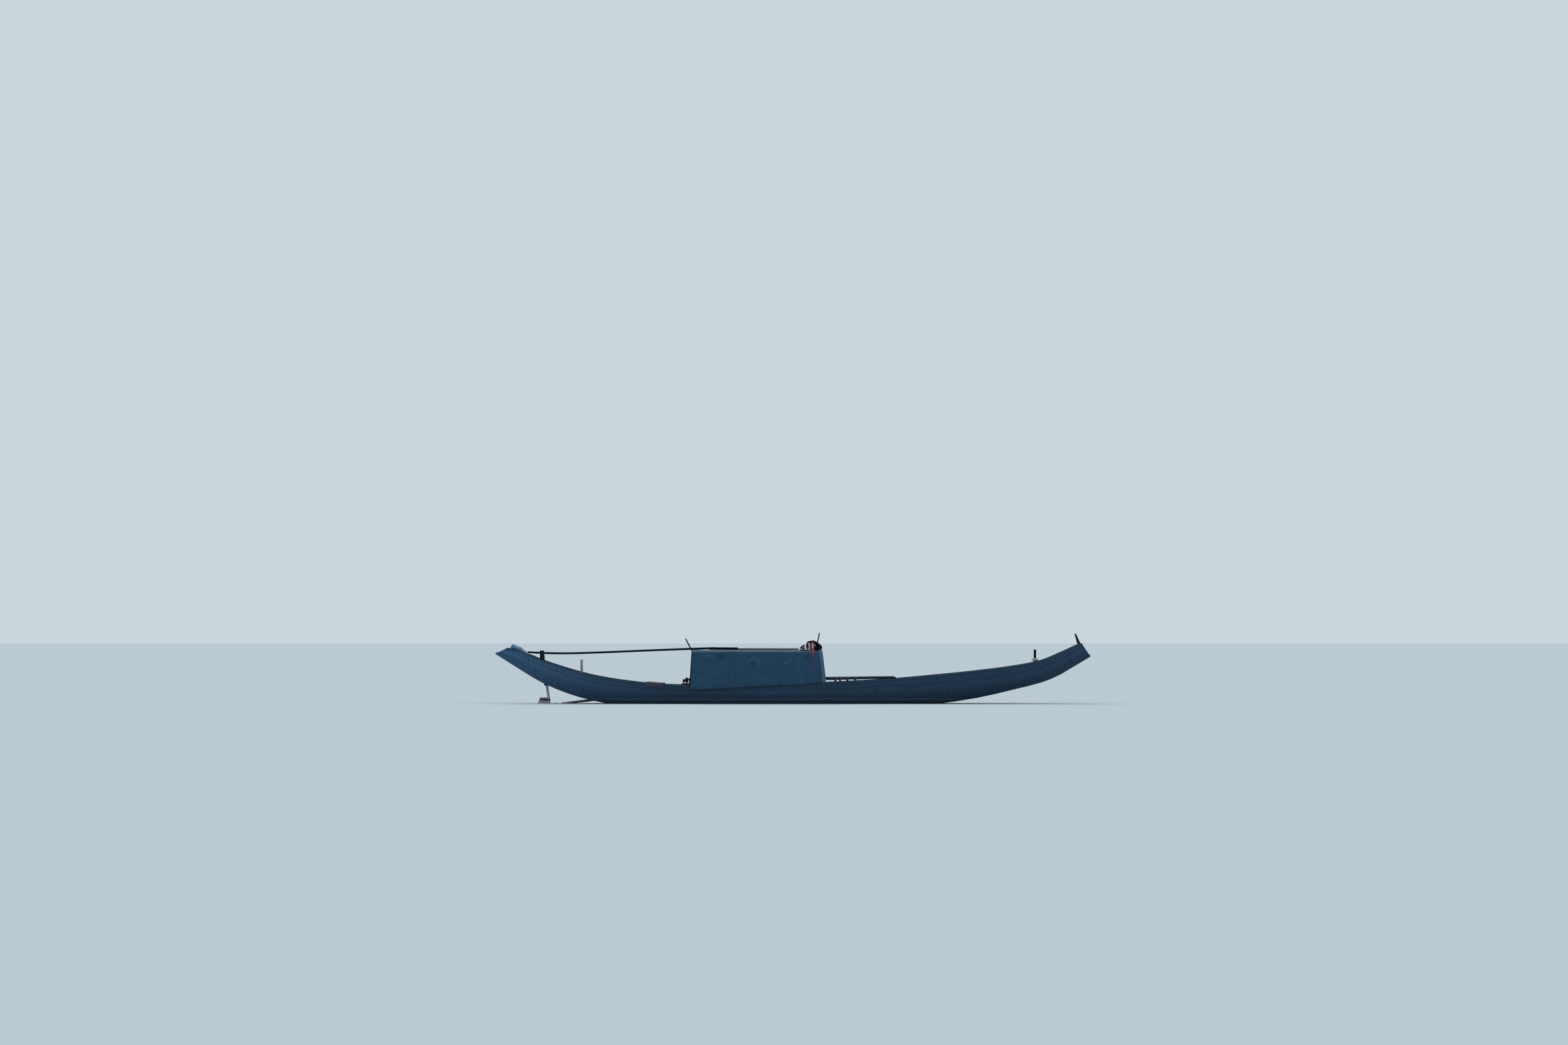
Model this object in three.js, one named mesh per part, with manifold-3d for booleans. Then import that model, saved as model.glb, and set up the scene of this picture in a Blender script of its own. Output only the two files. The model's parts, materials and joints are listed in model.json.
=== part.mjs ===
// Lagoon sampan: a long, narrow plank boat with raked ends, a box cabin amidships, a small open
// engine turning a long shaft, and a rudder on a raked stock. Millimetres, +Z up.
// The origin is on the centreline at the waterline amidships, +X points to the bow, +Y to port.

import * as THREE from "three";
import Module from "manifold-3d";
import { mergeVertices } from "three/addons/utils/BufferGeometryUtils.js";

const wasm = await Module();
wasm.setup();

// Driving dimensions
const seat = 0.3;               // gap between touching pieces
const plank = 22;               // hull plank thickness
const capHeight = 25;           // gunwale cap, height and how far it reaches in and out of the plank
const capInside = 34;
const capOutside = 14;

const ribDepth = 42;
const ribWidth = 38;
const keelsonWidth = 90;
const keelsonHeight = 30;

const deckThickness = 22;
const deckBelowSheer = 34;
const beamHeight = 46;
const beamWidth = 44;
const boardGap = 6;
const floorThickness = 20;

const cabinAft = -1869;         // both ends at the crown
const cabinFore = 531;
const cabinForeFoot = 593;      // the fore end's lower part is upright
const cabinAftRake = 0.062;     // how far an end moves out for each millimetre down
const cabinForeRake = 0.12;
const cabinFootZ = 263;
const cabinFootY = 790;         // outer face at the foot
const cabinShoulderZ = 900;
const cabinCrownZ = 994;
const cabinLeanDeg = 3;
const cabinWall = 16;
const rimWidth = 69;            // the light hoop on the cabin's fore end
const edgeHoopWidth = 26;       // the dark hoop on its aft end
const hoopThickness = 46;

const shaftX = -3754;           // where the shaft line crosses the bottom aft
const shaftZ = 60;
const shaftSlope = 0.122;       // fall per millimetre aft
const shaftDiameter = 25;
const tubeOuter = 46;
const tubeBore = 26.6;
const propellerX = -4395;
const propellerDiameter = 230;

const stockTop = [-4646, 0, 905];
const stockFoot = [-4475, 0, -300];
const stockDiameter = 50;
const trunkOuter = 92;
const trunkBore = 51.6;

// The hull's lines by station, from stern to bow. The first and last stations lie on the raked ends,
// so each line there has its own x.
const station = { x: 0, sheerZ: 1, sheerY: 2, chineZ: 3, chineY: 4, floorZ: 5, floorY: 6 };
const lines = [
  // x, sheer z, sheer y, chine z, chine y, floor z, floor y
  [-5009, 960, 338, 800, 312, 605, 272],
  [-4620, 800, 430, 612, 400, 378, 316],
  [-4154, 648, 520, 430, 486, 186, 360],
  [-3700, 528, 592, 318, 556, 58, 396],
  [-3178, 437, 652, 242, 614, -36, 428],
  [-2500, 366, 702, 196, 662, -108, 456],
  [-1800, 342, 734, 178, 692, -150, 476],
  [-900, 345, 748, 174, 704, -170, 486],
  [0, 368, 750, 180, 704, -170, 486],
  [900, 408, 740, 192, 692, -150, 476],
  [1800, 461, 708, 216, 660, -98, 454],
  [2600, 530, 654, 254, 608, -8, 420],
  [3400, 613, 578, 334, 534, 110, 372],
  [4100, 704, 492, 446, 452, 270, 318],
  [4600, 806, 414, 576, 382, 398, 276],
  [4950, 948, 344, 732, 322, 545, 240],
];
const sternEnd = { sheer: [-5277, 1032, 262], chine: [-5392, 976, 250], floor: [-5500, 925, 238] };
const bowEnd = { sheer: [5320, 1123, 216], chine: [5408, 990, 206], floor: [5489, 870, 190] };
const deadrise = 10;            // the floor's fall from its edge to the keel line
const bilgeSwell = 34;          // how far the lower strake bulges beyond a straight plank
const halfSteps = 2;            // stations worked out between two rows of the table

const material = (color, roughness, metalness = 0) =>
  new THREE.MeshStandardMaterial({ color, roughness, metalness });
const looks = {
  tarred: material(0x1f3247, 0.62),
  tarredLow: material(0x192b3d, 0.66),
  cabinBoard: material(0x26415a, 0.55),
  rim: material(0x48688a, 0.5),
  wood: material(0x6d5a48, 0.8),
  paleWood: material(0xa39078, 0.8),
  pinkWood: material(0x8f7468, 0.78),
  bamboo: material(0x2c3238, 0.7),
  darkWood: material(0x1e252c, 0.75),
  castIron: material(0x2e3236, 0.6, 0.7),
  steel: material(0x6a7076, 0.45, 0.9),
  bronze: material(0x7d6a45, 0.4, 0.9),
  tank: material(0x5b2f2a, 0.5, 0.3),
  darkCloth: material(0x232c39, 0.9),
  blueSheet: material(0x4e7597, 0.6),
  rope: material(0x9da3a8, 0.9),
};

const boat = new THREE.Group();

function add(name, geometry, look) {
  const mesh = new THREE.Mesh(geometry, look);
  mesh.name = name;
  boat.add(mesh);
  return mesh;
}

// Solids

const flipped = ([a, b, c]) => [a, c, b];

function signedVolume(points, triangles) {
  let sum = 0;
  for (const [a, b, c] of triangles) {
    const [p, q, r] = [points[a], points[b], points[c]];
    sum += p[0] * (q[1] * r[2] - q[2] * r[1]);
    sum -= p[1] * (q[0] * r[2] - q[2] * r[0]);
    sum += p[2] * (q[0] * r[1] - q[1] * r[0]);
  }
  return sum / 6;
}

// A closed geometry with its faces pointing out
function closed(points, triangles) {
  const turned = signedVolume(points, triangles) < 0;
  const faces = turned ? triangles.map(flipped) : triangles;
  const geometry = new THREE.BufferGeometry();
  geometry.setAttribute("position", new THREE.Float32BufferAttribute(points.flat(), 3));
  geometry.setIndex(faces.flat());
  return geometry;
}

function toManifold(geometry) {
  const plain = geometry.clone();
  for (const key of Object.keys(plain.attributes)) {
    if (key !== "position") plain.deleteAttribute(key);
  }
  const merged = mergeVertices(plain, 1e-3);
  return new wasm.Manifold(new wasm.Mesh({
    numProp: 3,
    vertProperties: new Float32Array(merged.attributes.position.array),
    triVerts: new Uint32Array(merged.index.array),
  }));
}

function fromManifold(solid) {
  const mesh = solid.getMesh();
  const geometry = new THREE.BufferGeometry();
  const points = new Float32Array(mesh.numVert * 3);
  for (let i = 0; i < mesh.numVert; i += 1) {
    for (let k = 0; k < 3; k += 1) points[i * 3 + k] = mesh.vertProperties[i * mesh.numProp + k];
  }
  geometry.setAttribute("position", new THREE.BufferAttribute(points, 3));
  geometry.setIndex(new THREE.BufferAttribute(new Uint32Array(mesh.triVerts), 1));
  return geometry;
}

const join = (first, ...others) =>
  fromManifold(others.reduce((sum, g) => sum.add(toManifold(g)), toManifold(first)));
const cut = (first, ...others) =>
  fromManifold(others.reduce((sum, g) => sum.subtract(toManifold(g)), toManifold(first)));
const overlap = (first, second) => fromManifold(toManifold(first).intersect(toManifold(second)));

// A box from its lowest to its highest corner
function box(low, high) {
  const geometry = new THREE.BoxGeometry(high[0] - low[0], high[1] - low[1], high[2] - low[2]);
  return geometry.translate((low[0] + high[0]) / 2, (low[1] + high[1]) / 2, (low[2] + high[2]) / 2);
}

// A round bar or taper from one point to another
function rod(from, to, diameter, sides = 12, endDiameter = diameter) {
  const a = new THREE.Vector3(...from);
  const b = new THREE.Vector3(...to);
  const geometry = new THREE.CylinderGeometry(endDiameter / 2, diameter / 2, a.distanceTo(b), sides);
  const up = new THREE.Vector3(0, 1, 0);
  geometry.applyQuaternion(new THREE.Quaternion().setFromUnitVectors(up, b.clone().sub(a).normalize()));
  const middle = a.add(b).multiplyScalar(0.5);
  return geometry.translate(middle.x, middle.y, middle.z);
}

// An outline of [x, z] points carried along Y
function plateXZ(outline, fromY, toY) {
  const points = [fromY, toY].flatMap((y) => outline.map(([x, z]) => [x, y, z]));
  return prism(points, outline);
}

// An outline of [y, z] points carried along X
function plateYZ(outline, fromX, toX) {
  const points = [fromX, toX].flatMap((x) => outline.map(([y, z]) => [x, y, z]));
  return prism(points, outline);
}

function prism(points, outline) {
  const count = outline.length;
  const flat = outline.map(([u, v]) => new THREE.Vector2(u, v));
  const way = Math.sign(THREE.ShapeUtils.area(flat));
  const ends = THREE.ShapeUtils.triangulateShape(flat, []);
  const triangles = ends.flatMap(([a, b, c]) => [[a, b, c], [a + count, c + count, b + count]]);
  for (let i = 0; i < count; i += 1) {
    const j = (i + 1) % count;
    triangles.push(...[[i, i + count, j], [j, i + count, j + count]].map(way > 0 ? (t) => t : flipped));
  }
  return closed(points, triangles);
}

// A bar of four-sided sections along X: at each x the section runs from y0 to y1 and z0 to z1
function bar(stations, sectionAt) {
  return fourSided(stations.flatMap((x) => {
    const [y0, y1, z0, z1] = sectionAt(x);
    return [[x, y0, z0], [x, y1, z0], [x, y1, z1], [x, y0, z1]];
  }));
}

function evenly(from, to, steps) {
  return Array.from({ length: steps + 1 }, (_, i) => from + ((to - from) * i) / steps);
}

// Hull lines. Between two rows of the table a value follows a cubic through the rows around it.

const kindOf = [null, "sheer", "sheer", "chine", "chine", "floor", "floor"];
function fair(column, x) {
  const part = column % 2 === 1 ? 1 : 2;
  const [first, last] = [sternEnd[kindOf[column]], bowEnd[kindOf[column]]];
  const points = [
    [first[0], first[part]],
    ...lines.map((row) => [row[station.x], row[column]]),
    [last[0], last[part]],
  ];
  let k = 0;
  while (k < points.length - 2 && x > points[k + 1][0]) k += 1;
  const slope = (i) => {
    const [p, q] = [points[Math.max(0, i - 1)], points[Math.min(points.length - 1, i + 1)]];
    return (q[1] - p[1]) / (q[0] - p[0]);
  };
  const [x0, v0] = points[k];
  const [x1, v1] = points[k + 1];
  const h = x1 - x0;
  const t = (x - x0) / h;
  return v0 * (1 + 2 * t) * (1 - t) ** 2 + slope(k) * h * t * (1 - t) ** 2
    + v1 * t * t * (3 - 2 * t) + slope(k + 1) * h * t * t * (t - 1);
}

const stationX = lines.flatMap((row, i) => {
  const next = lines[i + 1];
  if (!next) return [row[station.x]];
  return evenly(row[station.x], next[station.x], halfSteps).slice(0, halfSteps);
});
const corners = [
  sternEnd,
  ...stationX.map((x) => ({
    sheer: [x, fair(station.sheerZ, x), fair(station.sheerY, x)],
    chine: [x, fair(station.chineZ, x), fair(station.chineY, x)],
    floor: [x, fair(station.floorZ, x), fair(station.floorY, x)],
  })),
  bowEnd,
];

// A built line is straight between stations: its height or half width at any x
function lineAt(kind, part, x) {
  const next = corners.findIndex((corner) => corner[kind][0] >= x);
  const k = Math.max(1, next);
  const [p, q] = [corners[k - 1][kind], corners[k][kind]];
  return p[part] + ((q[part] - p[part]) * (x - p[0])) / (q[0] - p[0]);
}
const sheerAt = (x) => lineAt("sheer", 1, x);
const sheerHalfAt = (x) => lineAt("sheer", 2, x);
const floorHalfAt = (x) => lineAt("floor", 2, x);
const floorAt = (x) => lineAt("floor", 1, x);
// The stations between two places, with both places
const along = (fromX, toX) => [fromX, ...stationX.filter((x) => x > fromX + 5 && x < toX - 5), toX];

// The first and last sections lie on the raked ends, so a point's x there follows from its height
function onEnd(k, x, z) {
  if (k > 0 && k < corners.length - 1) return x;
  const { sheer, floor } = corners[k];
  return sheer[0] + ((z - sheer[1]) * (floor[0] - sheer[0])) / (floor[1] - sheer[1]);
}

// The outside of each section: port sheer first, down round the keel line and up to starboard
const sheerIndex = 0;
const chineIndex = 1;
const floorIndex = 3;
const keelIndex = 4;
const skin = corners.map(({ sheer, chine, floor }, k) => {
  const swell = bilgeSwell * Math.min(1, Math.max(0, (sheer[2] - 200) / 300));
  const bilgeZ = (chine[1] + floor[1]) / 2 - swell * 0.55;
  const bilgeY = (chine[2] + floor[2]) / 2 + swell;
  const half = [[sheer[2], sheer[1]], [chine[2], chine[1]], [bilgeY, bilgeZ], [floor[2], floor[1]]];
  const ring = [...half, [0, floor[1] - deadrise], ...half.toReversed().map(([y, z]) => [-y, z])];
  return ring.map(([y, z]) => [onEnd(k, sheer[0], z), y, z]);
});
const starboard = (index) => 2 * keelIndex - index;

// Sections moved inwards by a depth, each point along the line that halves its two sides. The end
// points move level, so that a plank's upper edge is flat.
function drawnIn(rings, depth) {
  const normal = (p, q) => {
    const [dy, dz] = [q[1] - p[1], q[2] - p[2]];
    return [dz / Math.hypot(dy, dz), -dy / Math.hypot(dy, dz)];
  };
  return rings.map((ring, k) => ring.map(([x, y, z], j) => {
    const last = ring.length - 1;
    const a = normal(ring[Math.max(0, j - 1)], ring[Math.max(1, j)]);
    const b = normal(ring[Math.min(last - 1, j)], ring[Math.min(last, j + 1)]);
    if (j === 0 || j === last) return [x, y + depth / a[0], z];
    const scale = depth / (1 + a[0] * b[0] + a[1] * b[1]);
    const inner = z + (a[1] + b[1]) * scale;
    return [rings === skin ? onEnd(k, x, inner) : x, y + (a[0] + b[0]) * scale, inner];
  }));
}

// The top of each section lowered by a drop
const lowered = (rings, drop) => rings.map((ring, k) => ring.map(([x, y, z], j) => {
  if (j > 0 && j < ring.length - 1) return [x, y, z];
  return [onEnd(k, x, z - drop), y, z - drop];
}));

// The side faces of a body of four-sided sections, four points a section, and its two end faces
function fourSided(points) {
  const end = points.length - 4;
  const triangles = [[0, 1, 2], [0, 2, 3], [end, end + 2, end + 1], [end, end + 3, end + 2]];
  for (let k = 0; k < end; k += 4) {
    for (let j = 0; j < 4; j += 1) {
      const next = (j + 1) % 4;
      triangles.push([k + j, k + 4 + j, k + next], [k + next, k + 4 + j, k + 4 + next]);
    }
  }
  return closed(points, triangles);
}

// The two triangles of a face between stations k and k + 1 and ring points j and j + 1. The split
// runs from the lower point at k to the higher one at k + 1, so facing seams match.
function facePair(a, b, c, d, falling) {
  return falling ? [[a, b, d], [b, c, d]] : [[a, b, c], [a, c, d]];
}

// A closed shell between two skins, over the ring points from first to last
function shell(outer, inner, first, last) {
  const count = last - first + 1;
  const middle = (outer[0].length - 1) / 2;
  const stations = outer.length;
  const points = outer.flatMap((ring, k) => [...ring, ...inner[k]].filter(
    (_, i) => i % ring.length >= first && i % ring.length <= last));
  const at = (k, layer, j) => (k * 2 + layer) * count + j - first;
  const triangles = [];
  for (let k = 0; k < stations - 1; k += 1) {
    for (let j = first; j < last; j += 1) {
      for (const layer of [0, 1]) {
        const face = facePair(
          at(k, layer, j), at(k + 1, layer, j), at(k + 1, layer, j + 1), at(k, layer, j + 1), j < middle);
        triangles.push(...(layer ? face.map(flipped) : face));
      }
    }
    for (const j of [first, last]) {
      const seam = [
        [at(k, 0, j), at(k + 1, 0, j), at(k + 1, 1, j)],
        [at(k, 0, j), at(k + 1, 1, j), at(k, 1, j)],
      ];
      triangles.push(...(j === first ? seam.map(flipped) : seam));
    }
  }
  for (const k of [0, stations - 1]) {
    for (let j = first; j < last; j += 1) {
      const end = [
        [at(k, 0, j), at(k, 0, j + 1), at(k, 1, j + 1)],
        [at(k, 0, j), at(k, 1, j + 1), at(k, 1, j)],
      ];
      triangles.push(...(k === 0 ? end : end.map(flipped)));
    }
  }
  return closed(points, triangles);
}

// Everything inside a set of sections, closed by a lid
function filled(rings) {
  const count = rings[0].length;
  const end = rings.length - 1;
  const at = (k, j) => k * count + j;
  const triangles = [];
  for (let k = 0; k < end; k += 1) {
    for (let j = 0; j < count - 1; j += 1) {
      triangles.push(...facePair(at(k, j), at(k + 1, j), at(k + 1, j + 1), at(k, j + 1), j < keelIndex));
    }
    triangles.push([at(k + 1, 0), at(k, 0), at(k, count - 1)]);
    triangles.push([at(k + 1, 0), at(k, count - 1), at(k + 1, count - 1)]);
  }
  for (let j = 1; j < count - 1; j += 1) {
    triangles.push([at(0, 0), at(0, j), at(0, j + 1)], [at(end, 0), at(end, j + 1), at(end, j)]);
  }
  return closed(rings.flat(), triangles);
}

// Draws one ring point a little towards another, to open a seam
function opened(rings, index, towards) {
  return rings.map((ring) => ring.map((point, j) => {
    if (j !== index) return point;
    const span = Math.hypot(...point.map((value, i) => ring[towards][i] - value));
    return point.map((value, i) => value + ((ring[towards][i] - value) * seat) / 2 / span);
  }));
}

const outerSkin = lowered(skin, capHeight + seat);
const innerSkin = lowered(drawnIn(skin, plank), capHeight + seat);
// The sections of one length of planking, each butted end drawn in by half a seam
function lengthOf(rings, from, to) {
  const buttedAft = (k) => k === from && from > 0;
  const buttedFore = (k) => k === to && to < rings.length - 1;
  const step = (k) => (Number(buttedAft(k)) - Number(buttedFore(k))) * (seat / 2);
  return rings.slice(from, to + 1).map((ring, i) => ring.map(([x, y, z]) => [x + step(from + i), y, z]));
}
function strake(first, last, from = 0, to = skin.length - 1) {
  const seams = (rings) => opened(opened(lengthOf(rings, from, to), first, first + 1), last, last - 1);
  return shell(seams(outerSkin), seams(innerSkin), first, last);
}

const boardSeat = 0.5;          // between a board or rib and the planks
const hullRoom = filled(lowered(drawnIn(skin, plank + boardSeat), capHeight + 1));
const ribRoom = filled(drawnIn(skin, plank + boardSeat + ribDepth));
const floorTimberTop = (x) => floorAt(x) + plank + boardSeat + ribDepth;

// Shaft line and rudder stock

const shaftZAt = (x) => shaftZ + (x - shaftX) * shaftSlope;
const onShaft = (x) => [x, 0, shaftZAt(x)];
const stockRake = (stockFoot[0] - stockTop[0]) / (stockFoot[2] - stockTop[2]);
const onStock = (z) => [stockTop[0] + (z - stockTop[2]) * stockRake, 0, z];

const deckZ = (x) => sheerAt(x) - deckBelowSheer;
const trunkTop = deckZ(onStock(760)[0]) + 14;
const trunkFoot = floorAt(onStock(360)[0]) - 20;
const trunkHole = rod(onStock(trunkFoot - 60), onStock(trunkTop + 60), trunkOuter + 2 * seat, 16);
const tubeFore = -2420;
const tubeAft = -4290;
const tubeHole = rod(onShaft(tubeFore + 40), onShaft(tubeAft - 40), tubeOuter + 2 * seat, 16);

// Planking

// The bottom is in three lengths, butted at stations between ribs
const [aftButt, foreButt] = [-2839, 2200].map((x) => stationX.indexOf(x) + 1);
const bottom = (from, to) => strake(floorIndex, starboard(floorIndex), from, to);
add("bottom_planking_aft", cut(bottom(0, aftButt), trunkHole, tubeHole), looks.tarredLow);
add("bottom_planking_mid", bottom(aftButt, foreButt), looks.tarredLow);
add("bottom_planking_fore", bottom(foreButt, skin.length - 1), looks.tarredLow);
add("lower_strake_port", strake(chineIndex, floorIndex), looks.tarredLow);
add("lower_strake_starboard", strake(starboard(floorIndex), starboard(chineIndex)), looks.tarredLow);
add("upper_strake_port", strake(sheerIndex, chineIndex), looks.tarred);
add("upper_strake_starboard", strake(starboard(chineIndex), starboard(sheerIndex)), looks.tarred);

// A gunwale cap is a level strip along the sheer, cut off on the raked ends
function gunwale(side) {
  const across = [[capOutside, 0], [capOutside, -capHeight], [-capInside, -capHeight], [-capInside, 0]];
  return fourSided(corners.flatMap(({ sheer: [x, z, y] }, k) =>
    across.map(([dy, dz]) => [onEnd(k, x, z + dz), side * (y + dy), z + dz])));
}
add("gunwale_port", gunwale(1), looks.tarred);
add("gunwale_starboard", gunwale(-1), looks.tarred);

// A slab along a raked end: from `above` over the sheer to `below` under it, measured down the end,
// and between two depths inwards from the hull's end face
function endSlab({ sheer, floor }, above, below, nearDepth, farDepth) {
  const down = new THREE.Vector2(floor[0] - sheer[0], floor[1] - sheer[1]).normalize();
  const inwards = new THREE.Vector2(-down.y, down.x);
  if (inwards.x * sheer[0] > 0) inwards.negate();
  const at = (fall, depth) =>
    [sheer[0] + down.x * fall + inwards.x * depth, sheer[1] + down.y * fall + inwards.y * depth];
  const outline = [at(-above, nearDepth), at(below, nearDepth), at(below, farDepth), at(-above, farDepth)];
  return plateXZ(outline, -500, 500);
}

// A transom is a board on a raked end, within the planks
const sternTransomThickness = 30;
const bowTransomThickness = 34;
const transom = (end, thickness) => overlap(endSlab(end, 160, 500, -160, thickness), hullRoom);
add("stern_transom", transom(sternEnd, sternTransomThickness), looks.tarred);
add("bow_transom", transom(bowEnd, bowTransomThickness), looks.tarred);

// The horn stands inside the bow transom and carries its line on above the sheer
const hornHalfWidth = 34;
const hornOutline = [[5310, 1000], [5372, 1000], [5306, 1132], [5234, 1292], [5208, 1292], [5250, 1132]];
const hornClear = endSlab(bowEnd, -20, 500, -300, bowTransomThickness + seat);
add("bow_horn", cut(plateXZ(hornOutline, -hornHalfWidth, hornHalfWidth), hornClear), looks.darkWood);

// Decks: boards along the hull on cross beams, both a little under the sheer

function deckBoards(stations, topAt, thickness, boards, width) {
  return evenly(0, boards - 1, boards - 1).map((i) => {
    const middle = (i - (boards - 1) / 2) * (width + boardGap);
    return bar(stations, (x) => [middle - width / 2, middle + width / 2, topAt(x) - thickness, topAt(x)]);
  });
}

function deck(fromX, toX, beams, ...holes) {
  const boards = deckBoards(along(fromX, toX), deckZ, deckThickness, 5, 264);
  const cross = beams.map(([x, width]) => {
    const top = (at) => deckZ(at) - deckThickness + 4;
    return bar([x - width / 2, x + width / 2], (at) => [-900, 900, top(at) - beamHeight, top(at)]);
  });
  return cut(overlap(join(boards[0], ...boards.slice(1), ...cross), hullRoom), ...holes);
}

const postDiameter = 50;
const mooringPostX = 4474;
const mooringPostTop = 997;
const rowingPostX = -3897;
const rowingPostTop = 815;
const rowingPostY = -(sheerHalfAt(rowingPostX) - capInside - postDiameter / 2 - 8);
const mortise = 12;             // how far a post goes into its beam
const postFoot = (x) => deckZ(x) - deckThickness - mortise;
const postHole = (x, y) => rod([x, y, postFoot(x)], [x, y, sheerAt(x) + 60], postDiameter + 2 * seat, 16);
const crutchX = -4650;
const crutchY = -104;
const crutchLength = 72;
const crutchWidth = 74;
const crutchFoot = deckZ(crutchX + crutchLength / 2) - deckThickness - mortise;
const crutchHole = box(
  [crutchX - crutchLength / 2 - seat, crutchY - crutchWidth / 2 - seat, crutchFoot - seat],
  [crutchX + crutchLength / 2 + seat, crutchY + crutchWidth / 2 + seat, crutchFoot + 300]);

const foreBeams = [[2930, beamWidth], [3640, beamWidth], [mooringPostX, 110], [5040, beamWidth]];
const aftBeams = [[-3450, beamWidth], [rowingPostX, 90], [crutchX, 120], [-5130, beamWidth]];
add("fore_deck", deck(2900, 5130, foreBeams, postHole(mooringPostX, 0)), looks.wood);
const rowingPostHole = postHole(rowingPostX, rowingPostY);
add("aft_deck", deck(-5200, -3420, aftBeams, rowingPostHole, crutchHole, trunkHole), looks.wood);

// Ribs, keelson and bilge stringers, joined, clear of what the decks and the trunk take up

const ribX = [
  -4880, -4280, -3640, -3000, -2360, -1640, -930, -220, 470, 1170, 1880, 2580, 3280, 3940, 4760,
];
const stringerWidth = 50;
const stringerInset = 22;       // from the floor's edge
const floorBar = (fromX, toX, y0, y1) => overlap(
  bar(along(fromX, toX), (x) => {
    const low = floorAt(x) - deadrise;
    return [y0(x), y1(x), low, low + plank + keelsonHeight];
  }), hullRoom);
const keelson = floorBar(-2380, 4780, () => -keelsonWidth / 2, () => keelsonWidth / 2);
const stringers = [1, -1].map((side) => {
  const edge = (x) => floorHalfAt(x) - stringerInset;
  const sides = [(x) => side * (edge(x) - stringerWidth), (x) => side * edge(x)];
  return floorBar(-4900, 4780, ...(side > 0 ? sides : sides.toReversed()));
});
const ribs = ribX.map((x) => {
  const slab = overlap(box([x - ribWidth / 2, -900, -400], [x + ribWidth / 2, 900, 1200]), hullRoom);
  return cut(slab, ribRoom);
});
const underDeck = (fromX, toX) => bar(along(fromX, toX), (x) => {
  const low = deckZ(x) - deckThickness - beamHeight - 3;
  return [-900, 900, low, low + 400];
});
const logAft = -3960;
const logFore = -3420;
const logHalfWidth = 62;
const logTop = (x) => Math.max(shaftZAt(x) + 42, floorAt(x) + plank + 20);
const logRoom = box([logAft - 1, -logHalfWidth - 1, -200], [logFore + 1, logHalfWidth + 1, 400]);
add("ribs_and_keelson", cut(
  join(keelson, ...stringers, ...ribs), underDeck(2870, 5300), underDeck(-5300, -3390), trunkHole, logRoom,
), looks.wood);

// Floorboards lie on the ribs and are joined by battens between them

const floorBoards = 5;
const floorBoardWidth = 148;
const floorBoardsHalf = (floorBoards * (floorBoardWidth + boardGap) - boardGap) / 2;
// The ribs' upper edge falls with the floor's deadrise, so the outer boards touch first
const timberTopAt = (x, y) => floorTimberTop(x) - deadrise * (1 - y / floorHalfAt(x));
const floorboardTop = (x) => timberTopAt(x, floorBoardsHalf) + 0.4 + floorThickness;
function floorboards(fromX, toX, battens) {
  const boards = deckBoards(along(fromX, toX), floorboardTop, floorThickness, floorBoards, floorBoardWidth);
  const cross = battens.map((x) => bar([x - 30, x + 30], (at) => {
    const top = floorboardTop(at) - floorThickness + 3;
    return [-300, 300, top - 15, top];
  }));
  return join(boards[0], ...boards.slice(1), ...cross);
}
add("floorboards_aft", floorboards(-3060, -2400, [-2800, -2520]), looks.wood);
add("floorboards_cabin", floorboards(-1560, 560, [-1290, -570, 130]), looks.wood);
add("floorboards_fore", floorboards(640, 2700, [820, 1520, 2230]), looks.wood);

// Thwarts: one inside the fore well, and the helm's plank across both gunwales

const foreThwartZ = 395;
const foreThwart = box([2330, -900, foreThwartZ], [2520, 900, foreThwartZ + 26]);
add("fore_thwart", overlap(foreThwart, hullRoom), looks.wood);

const helmPlankAft = -2717;
const helmPlankFore = -2396;
const helmPlankThickness = 18;
const helmCleatFoot = 48;       // how far the cleats reach down outside the gunwales
const helmHalf = (x) => sheerHalfAt(x) + capOutside;
const helmX = evenly(helmPlankAft, helmPlankFore, 4);
const helmBoard = bar(helmX, (x) => {
  const low = sheerAt(x) + boardSeat;
  return [-helmHalf(x) - 26, helmHalf(x) + 26, low, low + helmPlankThickness];
});
const helmCleats = [1, -1].map((side) => bar(helmX, (x) => {
  const low = sheerAt(x) - helmCleatFoot;
  const inner = side * (helmHalf(x) + 2);
  const outer = side * (helmHalf(x) + 26);
  return [Math.min(inner, outer), Math.max(inner, outer), low, sheerAt(x) + boardSeat + 10];
}));
add("helm_thwart", join(helmBoard, ...helmCleats), looks.pinkWood);

// Posts: a dark mooring post forward with its turns of rope, and a pale rowing post aft

const post = (x, y, top) => rod([x, y, postFoot(x) + seat], [x, y, top], postDiameter, 16);
add("mooring_post", post(mooringPostX, 0, mooringPostTop), looks.darkWood);
add("rowing_post", post(rowingPostX, rowingPostY, rowingPostTop), looks.paleWood);

const turnsLow = 781;
const turnsHigh = 845;
const turnsOuter = 68;
const turnsInner = postDiameter / 2 + 0.7;
const turnsProfile = [
  [turnsInner, turnsLow], [turnsOuter - 14, turnsLow], [turnsOuter, turnsLow + 14],
  [turnsOuter, turnsHigh - 26], [turnsOuter - 20, turnsHigh - 6], [turnsInner, turnsHigh],
  [turnsInner, turnsLow],
];
const turns = new THREE.LatheGeometry(turnsProfile.map(([r, z]) => new THREE.Vector2(r, z)), 20);
add("mooring_rope_turns", turns.rotateX(Math.PI / 2).translate(mooringPostX, 0, 0), looks.rope);

// Side rails: a pole over each gunwale forward of the cabin, on pegs

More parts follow.
